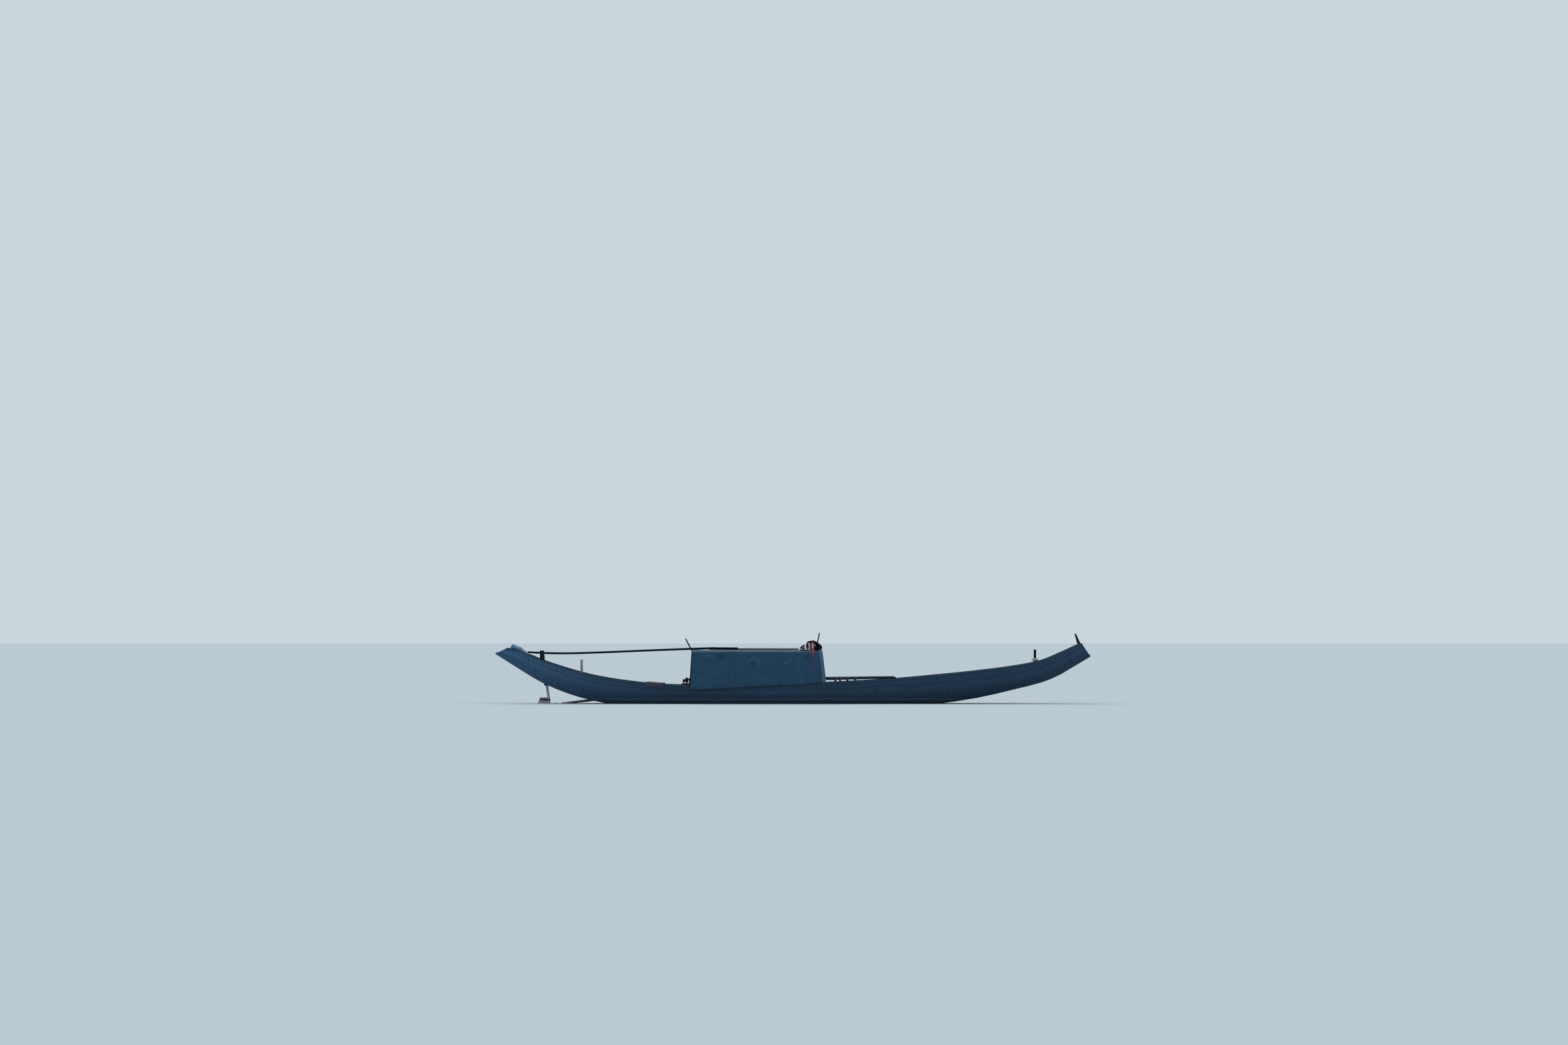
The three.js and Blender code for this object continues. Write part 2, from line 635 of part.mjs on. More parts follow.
const railAft = 600;
const railFore = 1880;
const railAftDiameter = 50;
const railForeDiameter = 34;
const pegDiameter = 24;
const pegX = [778, 864, 1000, 1148];
const railZ = (x) => {
  const foreZ = sheerAt(railFore) + railForeDiameter / 2 + seat;
  const aftZ = 460;
  return aftZ + ((foreZ - aftZ) * (x - railAft)) / (railFore - railAft);
};
const capMiddle = (x) => sheerHalfAt(x) + (capOutside - capInside) / 2;
const railY = (x) => capMiddle(railAft)
  + ((capMiddle(railFore) - capMiddle(railAft)) * (x - railAft)) / (railFore - railAft);
for (const [name, side] of [["side_rail_port", 1], ["side_rail_starboard", -1]]) {
  const at = (x, z) => [x, side * railY(x), z];
  const ends = [at(railAft, railZ(railAft)), at(railFore, railZ(railFore))];
  const pole = rod(...ends, railAftDiameter, 12, railForeDiameter);
  const pegs = pegX.map((x) => rod(at(x, sheerAt(x) + 1), at(x, railZ(x)), pegDiameter, 10));
  add(name, join(pole, ...pegs), looks.darkWood);
}

// Cabin: raked at both ends, its sides leaning in, on four hoops that stand on the gunwales

const raked = (geometry, topX, rake) => geometry.applyMatrix4(new THREE.Matrix4().set(
  1, 0, rake, topX - rake * cabinCrownZ,
  0, 1, 0, 0,
  0, 0, 1, 0,
  0, 0, 0, 1));
const lean = Math.tan(THREE.MathUtils.degToRad(cabinLeanDeg));
const sideY = (z) => cabinFootY - (z - cabinFootZ) * lean;
const aftEdge = (z) => cabinAft - (cabinCrownZ - z) * cabinAftRake;
const foreEdge = (z) => Math.min(cabinForeFoot, cabinFore + (cabinCrownZ - z) * cabinForeRake);
const panelAft = (z) => aftEdge(z) + edgeHoopWidth + seat;
const panelFore = (z) => foreEdge(z) - rimWidth - seat;

// The foot of the sides follows the gunwale, a little below it
const sideFoot = [[-1435, 277], [-1041, 303], [-451, 332], [140, 352]];
const sideOutline = [
  [panelAft(cabinFootZ), cabinFootZ], ...sideFoot, [panelFore(396), 396], [panelFore(478), 478],
  [panelFore(cabinShoulderZ), cabinShoulderZ], [panelAft(cabinShoulderZ), cabinShoulderZ],
];
for (const [name, side] of [["cabin_side_port", 1], ["cabin_side_starboard", -1]]) {
  const points = [0, cabinWall].flatMap((depth) =>
    sideOutline.map(([x, z]) => [x, side * (sideY(z) - depth), z]));
  add(name, prism(points, sideOutline), looks.cabinBoard);
}

// Half of the roof's outside from the shoulder to the crown, as [y, z]
const roofHalf = [
  [sideY(cabinShoulderZ), cabinShoulderZ + seat], [754, 925], [744, 947], [722, 964], [690, 973],
  [560, 981], [380, 988], [190, 992.5],
];
const roofProfile = [...roofHalf.map(([y, z]) => [-y, z]), [0, cabinCrownZ], ...roofHalf.toReversed()];
const roofRing = (xAt) => roofProfile.map(([y, z]) => [xAt(z), y, z]);
const roofOuter = [roofRing(panelAft), roofRing(panelFore)];
const roofInner = drawnIn(roofOuter, cabinWall);
add("cabin_roof", shell(roofOuter, roofInner, 0, roofProfile.length - 1), looks.cabinBoard);
const roofTopAt = (y) => {
  const ring = roofProfile.filter(([at]) => at >= 0).toSorted((p, q) => p[0] - q[0]);
  const k = Math.max(1, ring.findIndex(([at]) => at >= Math.abs(y)));
  const [[y0, z0], [y1, z1]] = [ring[k - 1], ring[k]];
  return z0 + ((z1 - z0) * (Math.abs(y) - y0)) / (y1 - y0);
};

// A hoop is an upside-down U between an outer profile and the same profile drawn in
function hoop(clearance, thickness, fromX, toX, foot) {
  const profile = [[-sideY(foot), foot], ...roofProfile.slice(1, -1), [sideY(foot), foot]];
  const ring = [profile.map(([y, z]) => [0, y, z])];
  const outline = (depth) => drawnIn(ring, depth)[0].map(([, y, z]) => [y, z]);
  return plateYZ([...outline(clearance), ...outline(clearance + thickness).toReversed()], fromX, toX);
}
const capTop = (fromX, toX) => Math.max(sheerAt(fromX), sheerAt(toX)) + seat;
const stakeDiameter = 25;
const aftStake = [[-1872, -170, 968], [-1994, -170, 1202]];
const foreStake = [[421, 640, 966], [488, 640, 1307]];
const stakeHole = (stake) => rod(stake[0], stake[1], stakeDiameter + 2 * seat, 10);
add("aft_hoop", cut(
  raked(hoop(0, hoopThickness, 0, edgeHoopWidth, capTop(-1920, -1870)), cabinAft, cabinAftRake),
  stakeHole(aftStake)), looks.darkWood);
add("fore_hoop", raked(
  hoop(0, hoopThickness, -rimWidth, 0, capTop(500, 600)), cabinFore, -cabinForeRake), looks.rim);

const lathHeight = 20;
const lathWidth = 40;
const midHoops = [-1080, -240].map((x) =>
  hoop(cabinWall + seat, 34, x - 20, x + 20, capTop(x - 20, x + 20)));
const laths = [-430, 0, 430].map((y) => {
  const top = roofTopAt(Math.abs(y) + lathWidth / 2) - cabinWall - 1.2;
  return box([-1826, y - lathWidth / 2, top - lathHeight], [452, y + lathWidth / 2, top]);
});
add("cabin_frame", join(midHoops[0], midHoops[1], ...laths), looks.bamboo);

// Stowed on the roof: a long oar that also lies in a crutch aft, a pole, and two stakes

const oarDiameter = 40;
const oarY = crutchY;
const oarSides = 10;
const oarFlat = (oarDiameter / 2) * Math.cos(Math.PI / oarSides);
const oarRoofZ = roofTopAt(Math.abs(oarY) - oarDiameter / 4) + oarFlat + 0.6;
const oarRoute = [
  [-4924, 950], [-4650, 935], [-4155, 928], [-3642, 942], [-2690, 980], [aftEdge(cabinCrownZ), oarRoofZ],
  [-1435, oarRoofZ + 13],
];
const oarCurve = new THREE.CatmullRomCurve3(oarRoute.map(([x, z]) => new THREE.Vector3(x, oarY, z)));
const roundSection = (diameter, sides) => {
  const shape = new THREE.Shape();
  for (let i = 0; i < sides; i += 1) {
    const angle = (2 * Math.PI * i) / sides;
    const point = [(diameter / 2) * Math.cos(angle), (diameter / 2) * Math.sin(angle)];
    if (i === 0) shape.moveTo(...point);
    else shape.lineTo(...point);
  }
  shape.closePath();
  return shape;
};
const oarLoom = new THREE.ExtrudeGeometry(
  roundSection(oarDiameter, oarSides), { steps: 30, bevelEnabled: false, extrudePath: oarCurve });
// x, half width, half thickness
const oarBladeRows = [[-1475, 22, 17], [-1440, 62, 16.6], [-1040, 62, 12.2], [-1021, 44, 12]];
const oarBlade = fourSided(oarBladeRows.flatMap(([x, half, thick]) => {
  const middle = oarRoofZ + 13 + (4 * (x - oarBladeRows[0][0])) / 454;
  return [[-half, -thick], [half, -thick], [half, thick], [-half, thick]].map(([y, z]) =>
    [x, oarY + y, middle + z]);
}));
add("stowed_oar", join(oarLoom, oarBlade), looks.bamboo);

const crutchNotch = oarDiameter + 3;
const crutchTop = 980;
const oarPoints = oarCurve.getPoints(400);
const oarMiddleAt = (x) =>
  oarPoints.reduce((best, p) => (Math.abs(p.x - x) < Math.abs(best.x - x) ? p : best)).z;
const crutchSeats = evenly(crutchX - crutchLength / 2, crutchX + crutchLength / 2, 4);
const crutchBottom = Math.min(...crutchSeats.map(oarMiddleAt)) - oarFlat - 0.4;
add("oar_crutch", plateYZ([
  [crutchY - crutchWidth / 2, crutchFoot], [crutchY + crutchWidth / 2, crutchFoot],
  [crutchY + crutchWidth / 2, crutchTop], [crutchY + crutchNotch / 2, crutchTop],
  [crutchY + crutchNotch / 2, crutchBottom], [crutchY - crutchNotch / 2, crutchBottom],
  [crutchY - crutchNotch / 2, crutchTop], [crutchY - crutchWidth / 2, crutchTop],
], crutchX - crutchLength / 2, crutchX + crutchLength / 2), looks.darkWood);

const roofPoleDiameter = 27;
const roofPoleY = 80;
const roofPoleZ = roofTopAt(roofPoleY - roofPoleDiameter / 2) + roofPoleDiameter / 2 + 0.4;
const roofPole = rod([-1560, roofPoleY, roofPoleZ], [99, roofPoleY, roofPoleZ], roofPoleDiameter, 10);
add("roof_pole", roofPole, looks.bamboo);
const aftStakeFoot = aftStake[0].map((v, i) => v + (aftStake[1][i] - v) * 0.004);
add("aft_stake", rod(aftStakeFoot, aftStake[1], stakeDiameter, 10), looks.bamboo);
const [foreStakeX, foreStakeY] = foreStake[0];
const foreStakeFoot = [foreStakeX, foreStakeY, roofTopAt(foreStakeY - stakeDiameter / 2) + 2.2];
add("fore_stake", rod(foreStakeFoot, foreStake[1], stakeDiameter, 10), looks.bamboo);

// Soft pieces: the rolled door curtain on the roof's fore end, and a sheet folded on the stern

const rollY = 560;
const rollFoot = cabinCrownZ + 0.6;
const rollOutline = [
  [118, rollFoot], [500, rollFoot], [516, 1006], [535, 1040], [525, 1070], [484, 1102], [442, 1130],
  [412, 1154], [360, 1162], [298, 1160], [257, 1146], [236, 1120], [222, 1082], [201, 1088],
  [178, 1074], [134, 1034],
];
add("door_curtain_roll", plateXZ(rollOutline, -rollY, rollY), looks.darkCloth);

const sheetHalf = 185;
const sheetOutline = [[-5244, 34], [-5199, 146], [-5122, 122], [-5060, 112], [-4962, 64], [-4892, 14]];
const sheetTop = sheetOutline.map(([x, rise]) => [x, deckZ(x) + rise]);
const sheetFoot = along(-5244, -4892).toReversed().map((x) => [x, deckZ(x) + 0.5]);
add("stern_sheet", plateXZ([...sheetFoot, ...sheetTop], -sheetHalf, sheetHalf), looks.blueSheet);

// Engine: open, on two beds just aft of and partly under the cabin

const engineX = -1950;
const crankLow = 118;           // from the shaft down to the engine's feet
const crankHigh = 92;
const engineHalf = 105;
const engineAft = engineX - 130;
const engineFore = engineX + 130;
const engineLow = shaftZAt(engineX) - crankLow;
const engineTop = shaftZAt(engineX) + crankHigh;
const bedY = [62, 124];
const bedAft = -2376;
const bedFore = -1626;
const beds = [1, -1].flatMap((side) => {
  const [y0, y1] = side > 0 ? bedY : [-bedY[1], -bedY[0]];
  return [bar(along(bedAft, bedFore), (x) => [y0, y1, timberTopAt(x, bedY[1]) + 0.4, engineLow - seat])];
});
const bedTies = [-2270, -1740].map((x) =>
  box([x - 25, -bedY[0] - 5, floorTimberTop(x) + 12], [x + 25, bedY[0] + 5, floorTimberTop(x) + 72]));
add("engine_beds", join(beds[0], beds[1], ...bedTies), looks.wood);

const chamfer = 16;
const crankcaseOutline = [
  [engineAft, engineLow + chamfer], [engineAft + chamfer, engineLow + 12],
  [engineAft + chamfer, engineLow], [engineFore - chamfer, engineLow],
  [engineFore - chamfer, engineLow + 12], [engineFore, engineLow + chamfer],
  [engineFore, engineTop - chamfer], [engineFore - chamfer, engineTop],
  [engineAft + chamfer, engineTop], [engineAft, engineTop - chamfer],
];
const shaftBore = rod(onShaft(engineAft + 40), onShaft(engineAft - 60), tubeBore, 12);
const feet = [1, -1].map((side) => box(
  [engineAft + 20, side > 0 ? engineHalf - 20 : -bedY[1] - 8, engineLow],
  [engineFore - 20, side > 0 ? bedY[1] + 8 : 20 - engineHalf, engineLow + 14]));
const crankcase = join(plateXZ(crankcaseOutline, -engineHalf, engineHalf), ...feet);
add("engine_crankcase", cut(crankcase, shaftBore), looks.castIron);

// The cylinder stands on the crankcase, its cooling fins as rings
const finCount = 5;
const finPitch = 14;
const cylinderLow = engineTop + seat;
const cylinderProfile = [[0, cylinderLow], [48, cylinderLow]];
for (let i = 0; i < finCount; i += 1) {
  const low = cylinderLow + 8 + i * finPitch;
  cylinderProfile.push([44, low], [66, low], [66, low + 6], [44, low + 6]);
}
const headLow = cylinderLow + 8 + finCount * finPitch;
cylinderProfile.push([44, headLow], [54, headLow], [54, headLow + 16], [18, headLow + 22], [0, headLow + 22]);
const cylinderX = engineX + 62;
const cylinder = new THREE.LatheGeometry(cylinderProfile.map(([r, z]) => new THREE.Vector2(r, z)), 16);
add("engine_cylinder", cylinder.rotateX(Math.PI / 2).translate(cylinderX, 0, 0), looks.castIron);

// The silencer stands upright on the aft end of the crankcase, with the air cleaner beside it
const silencerX = -1974;
const silencerY = -64;
const silencerDiameter = 64;
add("exhaust_silencer", join(
  rod([silencerX, silencerY, engineTop + seat], [silencerX, silencerY, engineTop + 24], 30, 12),
  rod([silencerX, silencerY, engineTop + 22], [silencerX, silencerY, 466], silencerDiameter, 14),
  rod([silencerX, silencerY, 464], [silencerX, silencerY, 482], 34, 12)), looks.castIron);
const cleanerY = 40;
const cleanerZ = 421;
add("air_cleaner", join(
  rod([-2030, cleanerY, engineTop + seat], [-2030, cleanerY, cleanerZ], 30, 12),
  rod([-2052, cleanerY, cleanerZ], [-1992, cleanerY, cleanerZ], 54, 14)), looks.castIron);

// The fuel tank is strapped to the fore side of the crankcase
const tankLow = engineTop - 60;
add("fuel_tank", join(
  box([engineFore + seat, -90, tankLow], [engineFore + 96, 90, tankLow + 118]),
  rod([engineFore + 48, 40, tankLow + 112], [engineFore + 48, 40, tankLow + 132], 40, 12)), looks.tank);

// The turning line: flywheel and coupling, shaft, and a two-bladed propeller
const flywheelX = engineAft - 42;
const flywheel = cut(
  rod(onShaft(flywheelX + 16), onShaft(flywheelX - 16), 168, 24),
  rod(onShaft(flywheelX + 80), onShaft(flywheelX - 80), shaftDiameter + 2 * seat, 12));
add("flywheel", flywheel, looks.castIron);
const coupling = rod(onShaft(-2190), onShaft(-2240), 70, 16);
const collar = rod(onShaft(flywheelX - 17), onShaft(flywheelX - 40), 48, 14);
add("propeller_shaft", join(
  rod(onShaft(engineAft + 12), onShaft(propellerX - 54), shaftDiameter, 12), coupling, collar), looks.steel);

const hubHalf = 35;
const hubDiameter = 52;
const hub = rod([hubHalf, 0, 0], [-hubHalf, 0, 0], hubDiameter, 12);
// A blade is four sections out along Y, each a thin wedge turned by its pitch
const bladeSections = [
  // radius, half chord, half thickness, pitch in degrees
  [18, 22, 8, 52],
  [52, 40, 6, 40],
  [86, 44, 4.5, 28],
  [propellerDiameter / 2, 22, 3, 22],
];
const blade = (side) => fourSided(bladeSections.flatMap(([radius, chord, thick, pitch]) => {
  const angle = THREE.MathUtils.degToRad(pitch);
  const [c, s] = [Math.cos(angle), Math.sin(angle)];
  return [[-chord, 0], [0, -thick], [chord, 0], [0, thick]].map(([u, v]) =>
    [side * (u * s + v * c), side * radius, u * c - v * s]);
}));
const propeller = join(hub, blade(1), blade(-1)).rotateY(-Math.atan(shaftSlope))
  .translate(propellerX, 0, shaftZAt(propellerX));
const hubBore = rod(
  onShaft(propellerX + 90), onShaft(propellerX - 90), shaftDiameter + 2 * seat, 12);
add("propeller", cut(propeller, hubBore), looks.bronze);

// The stern tube carries the shaft through the bottom, bedded in a log
const tubeFlange = rod(onShaft(tubeFore), onShaft(tubeFore - 30), 84, 16);
add("stern_tube", cut(
  join(rod(onShaft(tubeFore), onShaft(tubeAft), tubeOuter, 16), tubeFlange),
  rod(onShaft(tubeFore + 60), onShaft(tubeAft - 60), tubeBore, 12)), looks.steel);
const log = bar(
  along(logAft, logFore), (x) => [-logHalfWidth, logHalfWidth, floorAt(x) - deadrise, logTop(x)]);
add("shaft_log", cut(overlap(log, hullRoom), tubeHole), looks.wood);

// Rudder: a stock turning in a trunk through the stern, with a head above the deck and a blade below

add("rudder_trunk", cut(
  rod(onStock(trunkFoot), onStock(trunkTop), trunkOuter, 16),
  rod(onStock(trunkFoot - 60), onStock(trunkTop + 60), trunkBore, 16)), looks.darkWood);
const stockAngle = Math.atan(stockRake);
add("rudder_stock", join(
  rod(stockFoot, stockTop, stockDiameter, 14),
  rod(onStock(trunkTop + 0.6), onStock(trunkTop + 25), 84, 16),
  box([-36, -31, -78], [36, 31, 0]).rotateY(stockAngle).translate(...stockTop)), looks.darkWood);
const bladeOutline = [
  [onStock(112)[0], 112], [-4692, 112], [-4742, -40], [-4752, -292], [onStock(-300)[0] - 6, -318],
  [onStock(-300)[0] - 6, -298],
];
const bladeHalf = 12;
add("rudder_blade", cut(
  plateXZ(bladeOutline, -bladeHalf, bladeHalf),
  rod(onStock(-420), onStock(200), stockDiameter + 2 * seat, 14)), looks.pinkWood);

export default boat;
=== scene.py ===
"""Lagoon sampan: fine surfaces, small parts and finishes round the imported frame.

Metres, +X to the bow, +Y to port, +Z up, the origin on the centreline at the waterline.
"""

import json
import math

import bmesh
import bpy
import numpy as np
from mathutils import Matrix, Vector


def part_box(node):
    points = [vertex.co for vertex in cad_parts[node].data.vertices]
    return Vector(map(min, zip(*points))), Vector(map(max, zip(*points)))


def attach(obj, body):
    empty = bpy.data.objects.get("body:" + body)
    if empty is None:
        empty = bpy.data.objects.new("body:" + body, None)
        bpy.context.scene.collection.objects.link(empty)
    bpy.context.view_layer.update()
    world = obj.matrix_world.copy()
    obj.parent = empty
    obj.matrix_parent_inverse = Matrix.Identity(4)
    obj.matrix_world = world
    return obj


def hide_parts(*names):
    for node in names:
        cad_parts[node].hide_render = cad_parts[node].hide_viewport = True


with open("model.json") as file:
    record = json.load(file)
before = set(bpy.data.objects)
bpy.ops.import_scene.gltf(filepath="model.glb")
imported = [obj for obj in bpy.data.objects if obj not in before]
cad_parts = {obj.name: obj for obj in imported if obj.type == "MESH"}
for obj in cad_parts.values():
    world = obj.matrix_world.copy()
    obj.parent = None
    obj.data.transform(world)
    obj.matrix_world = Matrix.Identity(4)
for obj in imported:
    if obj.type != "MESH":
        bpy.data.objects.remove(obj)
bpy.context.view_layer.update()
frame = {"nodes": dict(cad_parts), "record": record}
rng = np.random.default_rng(11)

# Shader trees


def put(tree, kind, inputs=None, **settings):
    """Adds a node, sets its options, and links or fills its inputs by name or number."""
    made = tree.nodes.new(kind)
    for key, value in settings.items():
        setattr(made, key, value)
    for key, value in (inputs or {}).items():
        if isinstance(value, bpy.types.NodeSocket):
            tree.links.new(value, made.inputs[key])
        else:
            made.inputs[key].default_value = value
    return made


def new_group(name, inputs, outputs):
    """A node group with named sockets: (tree, input sockets by name, function that sets an output)."""
    tree = bpy.data.node_groups.new(name, "ShaderNodeTree")
    for label, kind, value in inputs:
        socket = tree.interface.new_socket(label, in_out="INPUT", socket_type=kind)
        if value is not None:
            socket.default_value = value
    for label, kind in outputs:
        tree.interface.new_socket(label, in_out="OUTPUT", socket_type=kind)
    start = tree.nodes.new("NodeGroupInput")
    end = tree.nodes.new("NodeGroupOutput")
    return tree, start.outputs, lambda label, socket: tree.links.new(socket, end.inputs[label])


def maths(tree, operation, *values):
    return put(tree, "ShaderNodeMath", dict(enumerate(values)), operation=operation).outputs[0]


def times(tree, first, second):
    return maths(tree, "MULTIPLY", first, second)


def ramp(tree, value, low, high):
    """0 below low, 1 above high, smooth between."""
    return put(tree, "ShaderNodeMapRange", {"Value": value, "From Min": low, "From Max": high},
               interpolation_type="SMOOTHSTEP").outputs["Result"]


def spread(tree, value, top, first, last):
    """0 to top becomes first to last, evenly."""
    return put(tree, "ShaderNodeMapRange", {
        "Value": value, "From Max": top, "To Min": first, "To Max": last}).outputs["Result"]


def linear(colour):
    """A colour given as 0 to 255 on a screen, as the renderer's linear light."""
    part = np.array(colour) / 255.0
    return (*np.where(part <= 0.04045, part / 12.92, ((part + 0.055) / 1.055) ** 2.4).tolist(), 1.0)


def blend_colour(tree, amount, *colours, kind="MIX"):
    """Mixes two colours, each a socket or a colour given as 0 to 255 on a screen."""
    first, second = (linear(colour) if isinstance(colour, tuple) else colour for colour in colours)
    return put(tree, "ShaderNodeMix", {0: amount, 6: first, 7: second},
               data_type="RGBA", blend_type=kind).outputs[2]


def noise(tree, vector, scale, detail=4.0, rough=0.55):
    return put(tree, "ShaderNodeTexNoise", {
        "Vector": vector, "Scale": scale, "Detail": detail, "Roughness": rough}).outputs["Fac"]


def stretched(tree, vector, stretch):
    return put(tree, "ShaderNodeVectorMath", {0: vector, 1: stretch},
               operation="MULTIPLY").outputs["Vector"]


def grain_group():
    """Wood grain: noise drawn out along the timber, with darker lines where it folds over itself."""
    tree, given, give = new_group("wood_grain", [
        ("Vector", "NodeSocketVector", None),
        ("Stretch", "NodeSocketVector", (1.2, 34.0, 34.0)),
        ("Lines", "NodeSocketFloat", 9.0),
    ], [("Shade", "NodeSocketFloat"), ("Height", "NodeSocketFloat")])
    drawn = stretched(tree, given["Vector"], given["Stretch"])
    coarse = noise(tree, drawn, 1.0, 3.0)
    folded = maths(tree, "FRACT", times(tree, coarse, given["Lines"]))
    line = maths(tree, "ABSOLUTE", maths(tree, "SUBTRACT", folded, 0.5))
    fine = noise(tree, drawn, 5.0, 5.0, 0.7)
    shade = maths(tree, "ADD", times(tree, line, 0.7), times(tree, fine, 0.65))
    give("Shade", maths(tree, "MINIMUM", shade, 1.0))
    give("Height", maths(tree, "ADD", times(tree, line, 0.5), fine))
    return tree


def weather_group():
    """Blotches at two sizes, and runs drawn out downwards, each a mask from 0 to 1."""
    tree, given, give = new_group("weathering", [
        ("Vector", "NodeSocketVector", None),
        ("Size", "NodeSocketFloat", 2.2),
        ("Cover", "NodeSocketFloat", 0.5),
    ], [("Blotch", "NodeSocketFloat"), ("Runs", "NodeSocketFloat"), ("Speckle", "NodeSocketFloat")])
    broad = noise(tree, given["Vector"], given["Size"], 5.0, 0.6)
    low = maths(tree, "SUBTRACT", 0.72, times(tree, given["Cover"], 0.3))
    give("Blotch", ramp(tree, broad, low, maths(tree, "ADD", low, 0.16)))
    drawn = stretched(tree, given["Vector"], (16.0, 16.0, 1.1))
    give("Runs", ramp(tree, noise(tree, drawn, 1.0, 4.0, 0.6), 0.53, 0.72))
    give("Speckle", ramp(tree, noise(tree, given["Vector"], 95.0, 2.0), 0.62, 0.72))
    return tree


def tide_group():
    """Masks by height over the water: the wet foot of the side, and a ragged scum line above it."""
    tree, given, give = new_group("tide_marks", [
        ("Vector", "NodeSocketVector", None),
        ("Wet Height", "NodeSocketFloat", 0.045),
        ("Line Height", "NodeSocketFloat", 0.085),
    ], [("Wet", "NodeSocketFloat"), ("Line", "NodeSocketFloat"), ("Under", "NodeSocketFloat")])
    height = put(tree, "ShaderNodeSeparateXYZ", {0: given["Vector"]}).outputs["Z"]
    ragged = times(tree, noise(tree, given["Vector"], 3.5, 4.0), 0.05)
    above = maths(tree, "SUBTRACT", maths(tree, "ADD", height, 0.025), ragged)
    give("Wet", spread(tree, above, given["Wet Height"], 1.0, 0.0))
    gap = maths(tree, "ABSOLUTE", maths(tree, "SUBTRACT", above, given["Line Height"]))
    give("Line", maths(tree, "SUBTRACT", 1.0, ramp(tree, gap, 0.0, 0.022)))
    give("Under", maths(tree, "SUBTRACT", 1.0, ramp(tree, above, -0.04, 0.0)))
    return tree


def weave_group():
    """A plain weave: two crossing waves over a UV in metres, as height and as a shade."""
    tree, given, give = new_group("plain_weave", [
        ("Vector", "NodeSocketVector", None),
        ("Threads", "NodeSocketFloat", 900.0),
    ], [("Height", "NodeSocketFloat"), ("Shade", "NodeSocketFloat")])
    parts = put(tree, "ShaderNodeSeparateXYZ", {0: given["Vector"]})
    waves = [maths(tree, "SINE", times(tree, parts.outputs[axis], given["Threads"]))
             for axis in ("X", "Y")]
    height = times(tree, waves[0], waves[1])
    give("Height", height)
    give("Shade", maths(tree, "ADD", times(tree, height, 0.25), 0.6))
    return tree


GRAIN = grain_group()
WEATHER = weather_group()
TIDE = tide_group()
WEAVE = weave_group()


def grouped(tree, group, inputs):
    return put(tree, "ShaderNodeGroup", inputs, node_tree=group).outputs


def shader_of(name, **constants):
    """A material's tree and its Principled shader, with constants set on the shader's own sockets."""
    material = bpy.data.materials.new(name)
    material.use_nodes = True
    tree = material.node_tree
    shader = tree.nodes["Principled BSDF"]
    for key, value in constants.items():
        shader.inputs[key.replace("_", " ").title().replace("Ior", "IOR")].default_value = value
    return material, tree, shader


def add_bump(tree, shader, height, strength, distance):
    bump = put(tree, "ShaderNodeBump", {"Height": height, "Strength": strength, "Distance": distance})
    tree.links.new(bump.outputs["Normal"], shader.inputs["Normal"])


def attribute(tree, name):
    return put(tree, "ShaderNodeAttribute", attribute_name=name).outputs["Fac"]


# How far the grain is squeezed along X, Y and Z, for timber that lies along one of them
ALONG_X = (1.2, 34.0, 34.0)
ALONG_Y = (34.0, 1.2, 34.0)
ALONG_Z = (34.0, 34.0, 1.2)


